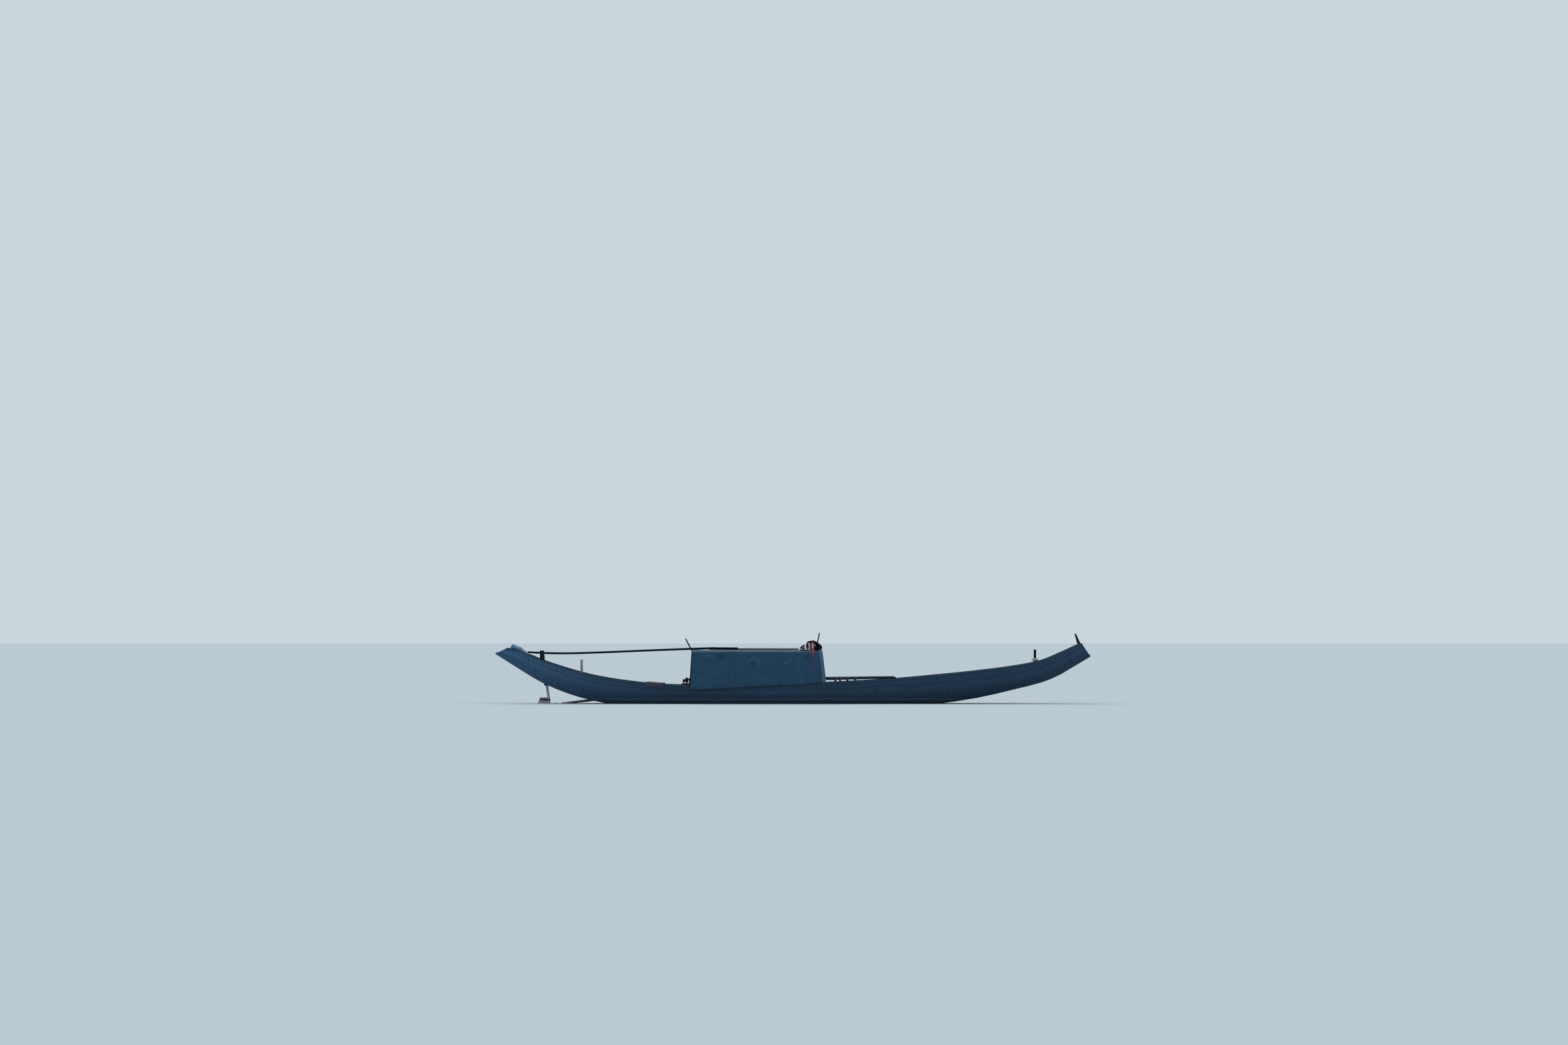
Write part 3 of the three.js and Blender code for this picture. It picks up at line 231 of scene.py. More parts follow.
def wood_look(name, dark, light, stretch=ALONG_X, rough=(0.6, 0.85), relief=0.0012, level=0.3,
              stain=None, stain_cover=0.35, runs=None, bare_and_highlight=None, afloat=False, bleed=None):
    """Timber: a grain between two tones, blotches of a third, runs of a fourth, a paler colour where the
    worn-wood attribute says so, which is worn wood and, on the roof's shoulders and the lower rudder stock,
    a painted highlight, and dark caulk where 'seam' does, which along the cabin's foot is a painted shadow
    line. 'tone' lightens or darkens a board, and on the cabin sides it also holds painted light and shade;
    dye has run into it where 'bleed' says so. Timber afloat has a wet foot, scum and slime."""
    material, tree, shader = shader_of(name, specular_ior_level=level)
    place = put(tree, "ShaderNodeTexCoord").outputs["Object"]
    grain = grouped(tree, GRAIN, {"Vector": place, "Stretch": stretch})
    weather = grouped(tree, WEATHER, {"Vector": place, "Cover": stain_cover})
    colour = blend_colour(tree, grain["Shade"], dark, light)
    if stain:
        colour = blend_colour(tree, times(tree, weather["Blotch"], 0.75), colour, stain)
    if runs:
        colour = blend_colour(tree, times(tree, weather["Runs"], 0.5), colour, runs)
    tone = maths(tree, "ADD", attribute(tree, "tone"), 1.0)
    shade = put(tree, "ShaderNodeCombineColor", {0: tone, 1: tone, 2: tone}).outputs[0]
    colour = blend_colour(tree, 1.0, colour, shade, kind="MULTIPLY")
    # Where the worn-wood mark is set the paler colour shows: worn wood on most timber, and a painted
    # highlight on the roof's shoulders and the lower rudder stock.
    worn = times(tree, attribute(tree, "wear"),
                 ramp(tree, maths(tree, "ADD", grain["Shade"], weather["Blotch"]), 0.45, 0.95))
    if bare_and_highlight:
        colour = blend_colour(tree, worn, colour, bare_and_highlight)
    if bleed:
        colour = blend_colour(tree, attribute(tree, "bleed"), colour, bleed)
    damp = 0.0
    if afloat:
        tide = grouped(tree, TIDE, {"Vector": place})
        colour = blend_colour(tree, times(tree, tide["Line"], 0.4), colour, (92, 102, 98))
        colour = blend_colour(tree, times(tree, tide["Wet"], 0.72), colour, (14, 22, 26))
        slime = times(tree, tide["Under"], maths(tree, "ADD", weather["Blotch"], 0.25))
        colour = blend_colour(tree, times(tree, slime, 0.6), colour, (38, 48, 34))
        damp = times(tree, tide["Wet"], 0.35)
    colour = blend_colour(tree, attribute(tree, "seam"), colour, (10, 14, 18))
    tree.links.new(colour, shader.inputs["Base Color"])
    matt = maths(tree, "ADD", grain["Shade"], times(tree, weather["Blotch"], 0.3))
    matt = maths(tree, "SUBTRACT", spread(tree, matt, 1.3, *rough), damp)
    tree.links.new(matt, shader.inputs["Roughness"])
    height = maths(tree, "ADD", grain["Height"], times(tree, weather["Speckle"], 0.3))
    add_bump(tree, shader, height, 0.7, relief)
    return material


def metal_look(name, base, worn, rust, rough, metallic=0.8, rust_cover=0.5, relief=0.0008, level=0.5):
    """Metal: patchy between base and worn, with rust blotches that are rough and not metallic."""
    material, tree, shader = shader_of(name, specular_ior_level=level)
    place = put(tree, "ShaderNodeTexCoord").outputs["Object"]
    weather = grouped(tree, WEATHER, {"Vector": place, "Size": 14.0, "Cover": rust_cover})
    patch = noise(tree, place, 30.0, 5.0)
    colour = blend_colour(tree, ramp(tree, patch, 0.35, 0.7), base, worn)
    rusty = maths(tree, "MAXIMUM", weather["Blotch"], attribute(tree, "seam"))
    colour = blend_colour(tree, rusty, colour, rust)
    tree.links.new(colour, shader.inputs["Base Color"])
    clean = maths(tree, "SUBTRACT", 1.0, weather["Blotch"])
    tree.links.new(times(tree, clean, metallic), shader.inputs["Metallic"])
    tree.links.new(spread(tree, weather["Blotch"], 1.0, rough, 0.9), shader.inputs["Roughness"])
    height = maths(tree, "ADD", noise(tree, place, 160.0, 3.0), weather["Blotch"])
    add_bump(tree, shader, height, 0.5, relief)
    return material


def cloth_look(name, dark, light, threads=1100.0, rough=0.85, stain=None, sheen=0.15, relief=0.0006):
    """Woven cloth on the piece's UV, which is in metres, with blotches."""
    material, tree, shader = shader_of(name, specular_ior_level=0.25, sheen_weight=sheen)
    cloth_place = put(tree, "ShaderNodeUVMap").outputs["UV"]
    place = put(tree, "ShaderNodeTexCoord").outputs["Object"]
    weave = grouped(tree, WEAVE, {"Vector": cloth_place, "Threads": threads})
    weather = grouped(tree, WEATHER, {"Vector": place, "Size": 9.0, "Cover": 0.5})
    colour = blend_colour(tree, weave["Shade"], dark, light)
    if stain:
        colour = blend_colour(tree, times(tree, weather["Blotch"], 0.7), colour, stain)
    tree.links.new(colour, shader.inputs["Base Color"])
    matt = spread(tree, weather["Blotch"], 1.0, rough, min(1.0, rough + 0.12))
    tree.links.new(matt, shader.inputs["Roughness"])
    height = maths(tree, "ADD", weave["Height"], times(tree, noise(tree, place, 60.0, 4.0), 2.0))
    add_bump(tree, shader, height, 0.6, relief)
    return material


LOOKS = {
    "tarred": wood_look(
        "tarred_planks", (35, 59, 83), (45, 74, 98), level=0.25, stain=(48, 83, 111),
        stain_cover=0.12, runs=(31, 53, 75), bare_and_highlight=(66, 88, 106), afloat=True),
    # Painted shade: the same tar as the upper planks, set darker because the lower strakes face down, away
    # from the sky.
    "tarred_low": wood_look(
        "tarred_bottom", (28, 50, 71), (38, 64, 89), level=0.25, rough=(0.55, 0.8),
        stain=(40, 66, 90), stain_cover=0.12, runs=(20, 38, 56), bare_and_highlight=(72, 88, 98),
        afloat=True),
    # The palest colour here, used where the worn-wood mark is set, is the painted highlight along the roof's
    # shoulders.
    "cabin_board": wood_look(
        "cabin_board", (36, 68, 91), (48, 83, 107), level=0.12, rough=(0.6, 0.8),
        stain=(58, 98, 124), stain_cover=0.2, runs=(33, 62, 84), bare_and_highlight=(74, 108, 134),
        relief=0.0008, bleed=(92, 56, 76)),
    "cabin_rim": wood_look(
        "cabin_rim", (55, 86, 111), (76, 110, 137), stretch=ALONG_Z, level=0.2,
        stain=(50, 78, 102), runs=(42, 66, 88), bare_and_highlight=(112, 134, 154)),
    "dark_wood": wood_look(
        "dark_wood", (12, 24, 36), (28, 44, 60), stretch=ALONG_Z, level=0.15,
        stain=(46, 60, 74), stain_cover=0.2, bare_and_highlight=(84, 88, 90), rough=(0.5, 0.8)),
    "deck_wood": wood_look(
        "deck_wood", (74, 68, 62), (124, 114, 102), rough=(0.72, 0.92),
        stain=(56, 54, 52), stain_cover=0.6, runs=(66, 62, 56), bare_and_highlight=(150, 138, 120)),
    "pale_wood": wood_look(
        "pale_wood", (104, 108, 118), (164, 164, 174), stretch=ALONG_Z,
        stain=(84, 86, 92), stain_cover=0.4, bare_and_highlight=(192, 188, 192)),
    "pink_wood": wood_look(
        "pink_wood", (48, 56, 70), (74, 76, 88), stretch=ALONG_Y, level=0.15,
        stain=(50, 60, 76), stain_cover=0.4, bare_and_highlight=(206, 198, 200)),
    "bamboo": wood_look(
        "smoked_bamboo", (8, 22, 34), (18, 38, 52), level=0.06,
        stain=(26, 44, 56), stain_cover=0.2, bare_and_highlight=(60, 70, 74), relief=0.0005),
    "engine_iron": metal_look(
        "engine_iron", (44, 48, 50), (74, 78, 80), (78, 50, 36), 0.5, 0.7, 0.35),
    "shaft_steel": metal_look(
        "shaft_steel", (120, 124, 128), (156, 158, 160), (98, 66, 46), 0.35, 0.95, 0.3),
    "bronze": metal_look(
        "bronze", (128, 104, 62), (158, 132, 84), (84, 104, 88), 0.38, 0.95, 0.35),
    "tank_paint": metal_look(
        "tank_paint", (112, 44, 38), (132, 60, 50), (80, 56, 44), 0.42, 0.15, 0.3),
    "dark_cloth": cloth_look(
        "dark_canvas", (24, 33, 46), (48, 62, 82), stain=(58, 72, 92)),
    "blue_sheet": cloth_look(
        "blue_woven_sheet", (54, 92, 124), (84, 128, 164), threads=1500.0, rough=0.5,
        stain=(112, 150, 180), sheen=0.02),
    "rope": cloth_look(
        "pale_rope", (156, 160, 164), (206, 210, 212), threads=5200.0, rough=0.9,
        stain=(128, 130, 130), relief=0.0004),
}
IRON_NAIL = metal_look("nail_heads", (40, 44, 48), (66, 68, 70), (86, 58, 42), 0.6, 0.6, 0.6)
OLD_CORD = cloth_look("old_cord", (66, 72, 76), (104, 110, 112), threads=4200.0,
                      stain=(58, 60, 60))
# The rudder's grey weathered wood, set paler than the wood itself as painted light: the stock and blade hang
# in the shade under the hull, and these colours stand for sunlight on them. The stock's palest colour is its
# painted highlight.
GREY_STOCK = wood_look(
    "grey_stock", (158, 158, 172), (212, 206, 216), stretch=ALONG_Z,
    stain=(140, 140, 152), stain_cover=0.3, bare_and_highlight=(236, 228, 232))
GREY_BLADE = wood_look(
    "grey_blade", (138, 130, 132), (192, 182, 186), stretch=ALONG_Z,
    stain=(112, 106, 110), stain_cover=0.4, bare_and_highlight=(226, 220, 220))
RED_CLOTH = cloth_look("red_cord", (122, 42, 58), (168, 78, 92), threads=2400.0,
                       stain=(160, 104, 114))
WHITE_CLOTH = cloth_look("white_cord", (150, 152, 158), (206, 206, 210), threads=2400.0,
                         stain=(128, 130, 134))

SLOTS = {row["node"]: row["material_slot"] for row in frame["record"]["subparts"]}
for node_name, owner in frame["nodes"].items():
    owner.data.materials.clear()
    owner.data.materials.append(LOOKS[SLOTS[node_name]])

# Points and curves


def unit(rows):
    """Rows brought to length one."""
    return rows / np.linalg.norm(rows, axis=-1, keepdims=True)


def around(sides):
    """Angles evenly round a circle."""
    return np.linspace(0, 2 * np.pi, sides, endpoint=False)


def circle(side, over, turn):
    """Points at angles round a circle of radius one, on two axes given once or for each centre."""
    return side[..., None, :] * np.cos(turn)[:, None] + over[..., None, :] * np.sin(turn)[:, None]


def grid(*parts):
    """Arrays of X, Y and Z, or of U and V, spread to one shape and put together as points."""
    return np.stack(np.broadcast_arrays(*parts), -1)


def travelled(path):
    """The distance along a path at each of its points."""
    return np.concatenate([[0], np.cumsum(np.linalg.norm(np.diff(path, axis=0), axis=1))])


def cubic(values, slopes, k, t, step):
    """From row k to the next, the cubic that has the rows' values and slopes at its ends."""
    return (values[k] * (1 + 2 * t) * (1 - t) ** 2 + slopes[k] * step * t * (1 - t) ** 2
            + values[k + 1] * t * t * (3 - 2 * t) + slopes[k + 1] * step * t * t * (t - 1))


def smooth_at(rows, along, want):
    """Points at wanted distances on a smooth curve through rows: a cubic over the distance along
    them, with the slopes of the chords across each."""
    k = np.clip(np.searchsorted(along, want) - 1, 0, len(along) - 2)
    step = (along[k + 1] - along[k])[:, None]
    return cubic(rows, np.gradient(rows, along, axis=0), k, (want - along[k])[:, None] / step, step)


def smooth_path(rows, count):
    """A smooth curve through rows, as points evenly along it."""
    rows = np.asarray(rows, float)
    along = travelled(rows)
    return smooth_at(rows, along, np.linspace(0, along[-1], count))


def frames_along(path, up=(0.0, 0.0, 1.0)):
    """Two axes across a path at each point: its tangent crossed with 'up', and the tangent with that."""
    tangent = unit(np.gradient(path, axis=0))
    side = unit(np.cross(tangent, up))
    return side, np.cross(side, tangent)


# Shapes: each is points, blocks of faces with one face a row, and marks on the points


def strip(rows, columns, ring=False):
    """Quads between neighbouring rows of a grid of points; ring joins the last column to the first."""
    r = np.arange(rows - 1)[:, None]
    c = np.arange(columns if ring else columns - 1)[None]
    n = (c + 1) % columns
    return np.stack([r * columns + c, (r + 1) * columns + c, (r + 1) * columns + n, r * columns + n],
                    -1).reshape(-1, 4)


def lofted(sections, marks=None):
    """A solid through closed sections: quads between them, and one flat face on each end."""
    rows, columns = sections.shape[:2]
    foot = np.arange(columns)[None]
    top = (rows - 1) * columns + foot[:, ::-1]
    return sections.reshape(-1, 3), [strip(rows, columns, ring=True), foot, top], marks or {}


def joined(shapes):
    """Several shapes as one, with each block's numbers moved on."""
    starts = np.cumsum([0, *[len(shape[0]) for shape in shapes]])
    blocks = [block + start for shape, start in zip(shapes, starts) for block in shape[1]]
    marks = {mark: np.concatenate([shape[2][mark] for shape in shapes]) for mark in shapes[0][2]}
    return np.concatenate([shape[0] for shape in shapes]), blocks, marks


def sided(shape, side):
    """A port shape as it is, or its mirror image for the starboard side."""
    return shape[0] * [1, side, 1], *shape[1:]


def tube(path, radius, sides=20, up=(0.0, 0.0, 1.0)):
    """A round bar along a path: at each point a circle of that point's radius across the tangent."""
    across = circle(*frames_along(path, up), around(sides))
    return lofted(path[:, None] + across * np.broadcast_to(radius, len(path))[:, None, None])


def turned(profile, start, end, sides=32):
    """A shape turned on an axis from start to end. The profile is rows of (distance along, radius)."""
    start, end, profile = (np.asarray(part, float) for part in (start, end, profile))
    way = unit(end - start)
    side = unit(np.cross(way, (0.0, 0.0, 1.0) if abs(way[2]) < 0.7 else (1.0, 0.0, 0.0)))
    across = circle(side, np.cross(side, way), around(sides))
    return lofted((start + profile[:, :1] * way)[:, None] + across * profile[:, 1][:, None, None])


def studs(centres, normals, radius, height, sides=8):
    """Low domes on a surface: a ring at the foot, a smaller ring above it and one point on top."""
    centres = np.asarray(centres, float).reshape(-1, 1, 3)
    normals = unit(np.broadcast_to(normals, centres[:, 0].shape).astype(float))
    guide = np.where(np.abs(normals[:, 2:]) < 0.8, (0.0, 0.0, 1.0), (1.0, 0.0, 0.0))
    side = unit(np.cross(normals, guide))
    ring = circle(side, np.cross(normals, side), around(sides)) * radius
    rise = normals[:, None] * height
    levels = [centres - rise * 0.6 + ring, centres + rise * 0.75 + ring * 0.62, centres + rise]
    a = np.arange(sides)
    b = (a + 1) % sides
    walls = np.stack([a, b, b + sides, a + sides], -1)
    caps = np.stack([a + sides, b + sides, np.full(sides, 2 * sides)], -1)
    start = (np.arange(len(centres)) * (2 * sides + 1))[:, None, None]
    blocks = [(part + start).reshape(-1, part.shape[-1]) for part in (walls, caps, a[None, ::-1])]
    return np.concatenate(levels, 1).reshape(-1, 3), blocks, {}


# Pieces


def outward(points, blocks):
    """Whether a closed mesh's faces point outwards: whether the volumes between the origin and the
    triangles in each face's fan have a sum that isn't negative."""
    total = 0.0
    for block in blocks:
        a = points[block[:, 0]]
        for k in range(1, block.shape[1] - 1):
            total += float(np.einsum("ij,ij->", a, np.cross(points[block[:, k]], points[block[:, k + 1]])))
    return total >= 0.0


def lay_uv(mesh, uv):
    """A UV map that gives each corner of a face its point's UV."""
    corner = np.zeros(len(mesh.loops), int)
    mesh.loops.foreach_get("vertex_index", corner)
    uv = np.asarray(uv, np.float32).reshape(-1, 2)[corner]
    mesh.uv_layers.new(name="UVMap").data.foreach_set("uv", uv.ravel())


def added(name, mesh, slot, body="hull", replaces=(), look=None):
    """A mesh as an object of the scene, with its look, on its body and in its slot."""
    mesh.materials.append(look or LOOKS[slot])
    made = bpy.data.objects.new(name, mesh)
    bpy.context.scene.collection.objects.link(made)
    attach(made, body)
    if replaces:
        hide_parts(*replaces)
    return made


def piece(name, shape, slot, smooth=40.0, marks=None, uv=None, **more):
    """A shape as a piece of the boat, shaded smooth but for edges sharper than an angle."""
    points, blocks, found = shape
    if not outward(points, blocks):
        blocks = [block[:, ::-1] for block in blocks]
    sizes = np.concatenate([np.full(len(block), block.shape[1]) for block in blocks])
    loops = np.concatenate([block.ravel() for block in blocks])
    mesh = bpy.data.meshes.new(name)
    mesh.vertices.add(len(points))
    mesh.vertices.foreach_set("co", points.ravel())
    mesh.loops.add(len(loops))
    mesh.loops.foreach_set("vertex_index", loops)
    mesh.polygons.add(len(sizes))
    mesh.polygons.foreach_set("loop_start", np.concatenate([[0], np.cumsum(sizes)[:-1]]))
    mesh.update(calc_edges=True)
    mesh.validate()
    for mark, values in (marks or found).items():
        layer = mesh.attributes.new(mark, "FLOAT", "POINT")
        layer.data.foreach_set("value", np.asarray(values, np.float32).ravel())
    if uv is not None:
        lay_uv(mesh, uv)
    mesh.polygons.foreach_set("use_smooth", np.ones(len(mesh.polygons), bool))
    mesh.set_sharp_from_angle(angle=math.radians(smooth))
    added(name, mesh, slot, **more)


def nails(name, centres, normals, radius=0.0065, height=0.0022):
    """Iron nail heads as one piece."""
    piece(name, studs(centres, normals, radius, height), "engine_iron", look=IRON_NAIL, smooth=60)


def cord(name, shape, look, **more):
    """A cord's shape as a piece, with its X and Z as its UV."""
    piece(name, shape, "rope", look=look, uv=shape[0][:, [0, 2]], **more)


def sheet_piece(name, points, uv, slot, thickness, **more):
    """An open grid of points as cloth: a smooth surface with its thickness from Solidify."""
    mesh = bpy.data.meshes.new(name)
    mesh.from_pydata(points.reshape(-1, 3).tolist(), [], strip(*points.shape[:2]).tolist())
    lay_uv(mesh, uv)
    mesh.polygons.foreach_set("use_smooth", np.ones(len(mesh.polygons), bool))
    made = added(name, mesh, slot, **more)
    wall = made.modifiers.new("thickness", "SOLIDIFY")
    wall.thickness, wall.offset = thickness, 0.0
    return made


# Hull lines, in metres: the raked stern end, the stations and the raked bow end

SHEER = np.array([
    (-5.277, 1.032, 0.262), (-5.009, 0.960, 0.338), (-4.620, 0.800, 0.430), (-4.154, 0.648, 0.520),
    (-3.700, 0.528, 0.592), (-3.178, 0.437, 0.652), (-2.500, 0.366, 0.702), (-1.800, 0.342, 0.734),
    (-0.900, 0.345, 0.748), (0.0, 0.368, 0.750), (0.900, 0.408, 0.740), (1.800, 0.461, 0.708),
    (2.600, 0.530, 0.654), (3.400, 0.613, 0.578), (4.100, 0.704, 0.492), (4.600, 0.806, 0.414),
    (4.950, 0.948, 0.344), (5.320, 1.123, 0.216)])
CHINE = np.array([
    (-5.392, 0.976, 0.250), (-5.009, 0.800, 0.312), (-4.620, 0.612, 0.400), (-4.154, 0.430, 0.486),
    (-3.700, 0.318, 0.556), (-3.178, 0.242, 0.614), (-2.500, 0.196, 0.662), (-1.800, 0.178, 0.692),
    (-0.900, 0.174, 0.704), (0.0, 0.180, 0.704), (0.900, 0.192, 0.692), (1.800, 0.216, 0.660),
    (2.600, 0.254, 0.608), (3.400, 0.334, 0.534), (4.100, 0.446, 0.452), (4.600, 0.576, 0.382),
    (4.950, 0.732, 0.322), (5.408, 0.990, 0.206)])
FLOOR = np.array([
    (-5.500, 0.925, 0.238), (-5.009, 0.605, 0.272), (-4.620, 0.378, 0.316), (-4.154, 0.186, 0.360),
    (-3.700, 0.058, 0.396), (-3.178, -0.036, 0.428), (-2.500, -0.108, 0.456), (-1.800, -0.150, 0.476),
    (-0.900, -0.170, 0.486), (0.0, -0.170, 0.486), (0.900, -0.150, 0.476), (1.800, -0.098, 0.454),
    (2.600, -0.008, 0.420), (3.400, 0.110, 0.372), (4.100, 0.270, 0.318), (4.600, 0.398, 0.276),
    (4.950, 0.545, 0.240), (5.489, 0.870, 0.190)])
PLANK = 0.022
CAP_HEIGHT = 0.025
SEAT = 0.0003
BILGE_SWELL = 0.034
DECK_BELOW = 0.034
EVEN_STATIONS = np.linspace(0, len(SHEER) - 1, 171)


def fair(line, u):
    """Points on a hull line. u counts stations; between two, the place runs evenly along X and the
    height and half width follow a cubic with the slopes of the chords across each station."""
    k = np.clip(np.floor(u).astype(int), 0, len(line) - 2)
    t = (u - k)[:, None]
    station = np.arange(len(line))
    before, after = np.maximum(station - 1, 0), np.minimum(station + 1, len(line) - 1)
    slope = (line[after, 1:] - line[before, 1:]) / (line[after, :1] - line[before, :1])
    step = line[k + 1, :1] - line[k, :1]
    value = cubic(line[:, 1:], slope, k, t, step)
    return np.concatenate([line[k, :1] + t * step, value[:, 1:], value[:, :1]], 1)


def built(line, u):
    """As fair, but straight between half stations, as the bottom planking is built."""
    knots = np.concatenate([[0.0], np.arange(2, 2 * len(line) - 3) / 2.0, [len(line) - 1.0]])
    known = fair(line, knots)
    return np.stack([np.interp(u, knots, known[:, axis]) for axis in range(3)], -1)


def station_at(x):
    """The u of places along X between the first and last stations."""
    return np.interp(x, SHEER[1:-1, 0], np.arange(1, len(SHEER) - 1))


def sheer_height(x):
    """The height of the sheer at places along X."""
    return fair(SHEER, np.atleast_1d(station_at(x)))[:, 2]


def sheer_half(x):
    """The half width of the sheer at places along X."""
    return fair(SHEER, np.atleast_1d(station_at(x)))[:, 1]


def hull_knots(u):
    """Outer and inner corners of the port side at each u: sheer, chine, bilge, floor edge and keel.
    The bilge lies outside the chord, as the part's does, and the inner corners are mitred in by a
    plank's thickness."""
    sheer, chine, floor = fair(SHEER, u), fair(CHINE, u), built(FLOOR, u)
    swell = BILGE_SWELL * np.clip((sheer[:, 1] - 0.2) / 0.3, 0, 1)
    bilge = (chine + floor) / 2
    bilge[:, 1] += swell
    bilge[:, 2] -= swell * 0.55
    keel = floor * [1, 0, 1] - [0, 0, 0.010]
    outer = np.stack([sheer, chine, bilge, floor, keel], 1)
    flat = outer[:, :, 1:]
    edge = np.diff(flat, axis=1)
    normal = unit(np.stack([edge[..., 1], -edge[..., 0]], -1))
    a, b = normal[:, [0, 0, 1, 2, 3]], normal[:, [0, 1, 2, 3, 3]]
    inner = outer.copy()
    inner[:, :, 1:] += (a + b) * (PLANK / (1 + (a * b).sum(-1, keepdims=True)))
    inner[:, 0, 1:] = flat[:, 0] + np.stack([PLANK / normal[:, 0, 0], 0 * normal[:, 0, 0]], -1)
    for ring in (outer, inner):
        ring[:, 0, 2] -= CAP_HEIGHT + SEAT
    return outer, inner


def through(points, f):
    """Points on the curve that goes evenly through two or three knots: straight, or a parabola."""
    g = f[..., None]
    if points.shape[1] == 2:
        return points[:, :1] * (1 - g) + points[:, 1:] * g
    first, middle, last = points[:, :1], points[:, 1:2], points[:, 2:]
    return first * (1 - g) * (1 - 2 * g) + middle * 4 * g * (1 - g) + last * g * (2 * g - 1)


def lightened(x, z):
    """How much lighter the tar is made: a good deal at the stern end, a little at the bow end and in a
    rubbed stretch under the cabin, and darker near the water amidships."""
    ends = np.interp(x, [-5.4, -5.0, -4.4, -3.7, -3.0, -2.2, 3.6, 4.6, 5.4],
                     [1.30, 1.05, 0.78, 0.40, 0.20, 0.0, 0.0, 0.05, 0.10])
    rubbed = 0.36 * np.exp(-((x + 0.55) / 0.95) ** 4 - ((z - 0.225) / 0.042) ** 2)
    rubbed = rubbed * (0.75 + 0.25 * np.sin(7.3 * x + 1.0) * np.sin(3.1 * x))
    low = -0.22 * np.clip(1 - z / 0.17, 0, 1) * np.clip(1.3 - np.abs(x - 0.3) / 3.2, 0, 1)
    return ends + rubbed + low


SEAM = ((0.0, 0.0045), (0.004, 0.0012), (0.010, 0.0))


def strake(first, last, planks, butts):
    """One side's planking between two knots. Across, each plank is flat with eased edges and a
    caulked groove between planks; along, butt joints are grooves at stated places. Every plank sits
    a little in from the outer line by its own amount, and none stands out past it."""
    butt_u = station_at(np.array([x for row in butts for x in row]))
    near = [butt_u + d for d in (-0.016, -0.006, 0.0, 0.006, 0.016)]
    u = np.unique(np.concatenate([EVEN_STATIONS, *near]))
    outer, inner = (line[:, first:last + 1] for line in hull_knots(u))
    width = np.linalg.norm(np.diff(outer, axis=1), axis=-1).sum(1)[:, None]
    # One row a column of points: share of the width, metres past it, how deep, how dark, which plank
    columns = []
    for plank in range(planks):
        low, high = plank / planks, (plank + 1) / planks
        below, above = plank > 0, plank < planks - 1
        columns += [(low, off, deep * below, float(below and off == 0), plank) for off, deep in SEAM]
        columns += [(f, 0.0, 0.0, 0.0, plank) for f in np.linspace(low, high, 5)[1:-1]]
        columns += [(high, -off, deep * above, 0.0, plank) for off, deep in SEAM[::-1] if off or not above]
    share, off, deep, dark, owner = np.array(columns).T
    owner = owner.astype(int)
    f = np.clip(share + off / width, 0, 1)
    proud = rng.uniform(0.0002, 0.0016, planks)[owner]
    face, back = through(outer, f), through(inner, f)
    x = face[..., 0]
    inset = deep + proud + 0.0008 * (1 + np.sin(x * (2.1 + 0.7 * owner) + 1.7 * owner))
    seam = np.broadcast_to(dark, f.shape)
    for plank, row in enumerate(butts):
        for place in row:
            gap = np.abs(x - place)
            groove = np.interp(gap, [0.0, 0.003, 0.008], [0.004, 0.001, 0.0]) * (owner == plank)
            inset = np.maximum(inset, groove)
            seam = np.maximum(seam, (gap < 0.002) * (owner == plank))
    face = face + (back - face) * (np.clip(inset, 0, 0.008) / PLANK)[..., None]
    tone = rng.uniform(-0.07, 0.07, planks)[owner]
    tone = tone + 0.03 * np.sin(x * 0.9 + 2.0 * owner) + lightened(x, face[..., 2])
    return walled(face, back, seam=(seam, 0 * x), tone=(tone, tone[:, ::-1]))


def walled(face, back, **marks):
    """A solid between an outer and an inner grid. Each mark is a pair, for the two grids, the
    second in the order of the inner one turned round."""
    return lofted(np.concatenate([face, back[:, ::-1]], 1),
                  {mark: np.concatenate(pair, 1).ravel() for mark, pair in marks.items()})


SIDES = (("port", 1), ("starboard", -1))
UPPER_BUTTS = [[-3.62, -0.41, 2.63], [-4.12, -1.28, 1.52, 4.02]]
LOWER_BUTTS = [[-2.44, 0.86, 3.72], [-3.86, -0.62, 2.08], [-2.94, 0.24, 3.22]]
for part_name, first, last, planks, butts, slot in (
        ("upper_strake", 0, 1, 2, UPPER_BUTTS, "tarred"),
        ("lower_strake", 1, 3, 3, LOWER_BUTTS, "tarred_low")):
    for side_name, side in SIDES:
        piece(f"{part_name}_planks_{side_name}", sided(strake(first, last, planks, butts), side), slot,
              replaces=[f"{part_name}_{side_name}"], smooth=30.0)


def rounded_profile(width, height, radius, count=4):
    """A rectangle about the origin with round corners, anticlockwise, as rows of (across, up)."""
    turn = np.linspace(0, np.pi / 2, count)
    corner = np.stack([np.cos(turn), np.sin(turn)], -1) * radius
    rows = []
    for k, (sx, sy) in enumerate(((1, 1), (-1, 1), (-1, -1), (1, -1))):
        c, s = math.cos(k * math.pi / 2), math.sin(k * math.pi / 2)
        middle = [sx * (width / 2 - radius), sy * (height / 2 - radius)]
        rows.append(corner @ np.array([[c, s], [-s, c]]) + middle)
    return np.concatenate(rows)


CAP_INSIDE = 0.034
CAP_OUTSIDE = 0.014
CAP_PROFILE = rounded_profile(CAP_INSIDE + CAP_OUTSIDE, CAP_HEIGHT, 0.006)
CAP_SCARFS = [-3.94, -1.12, 1.31, 3.86]


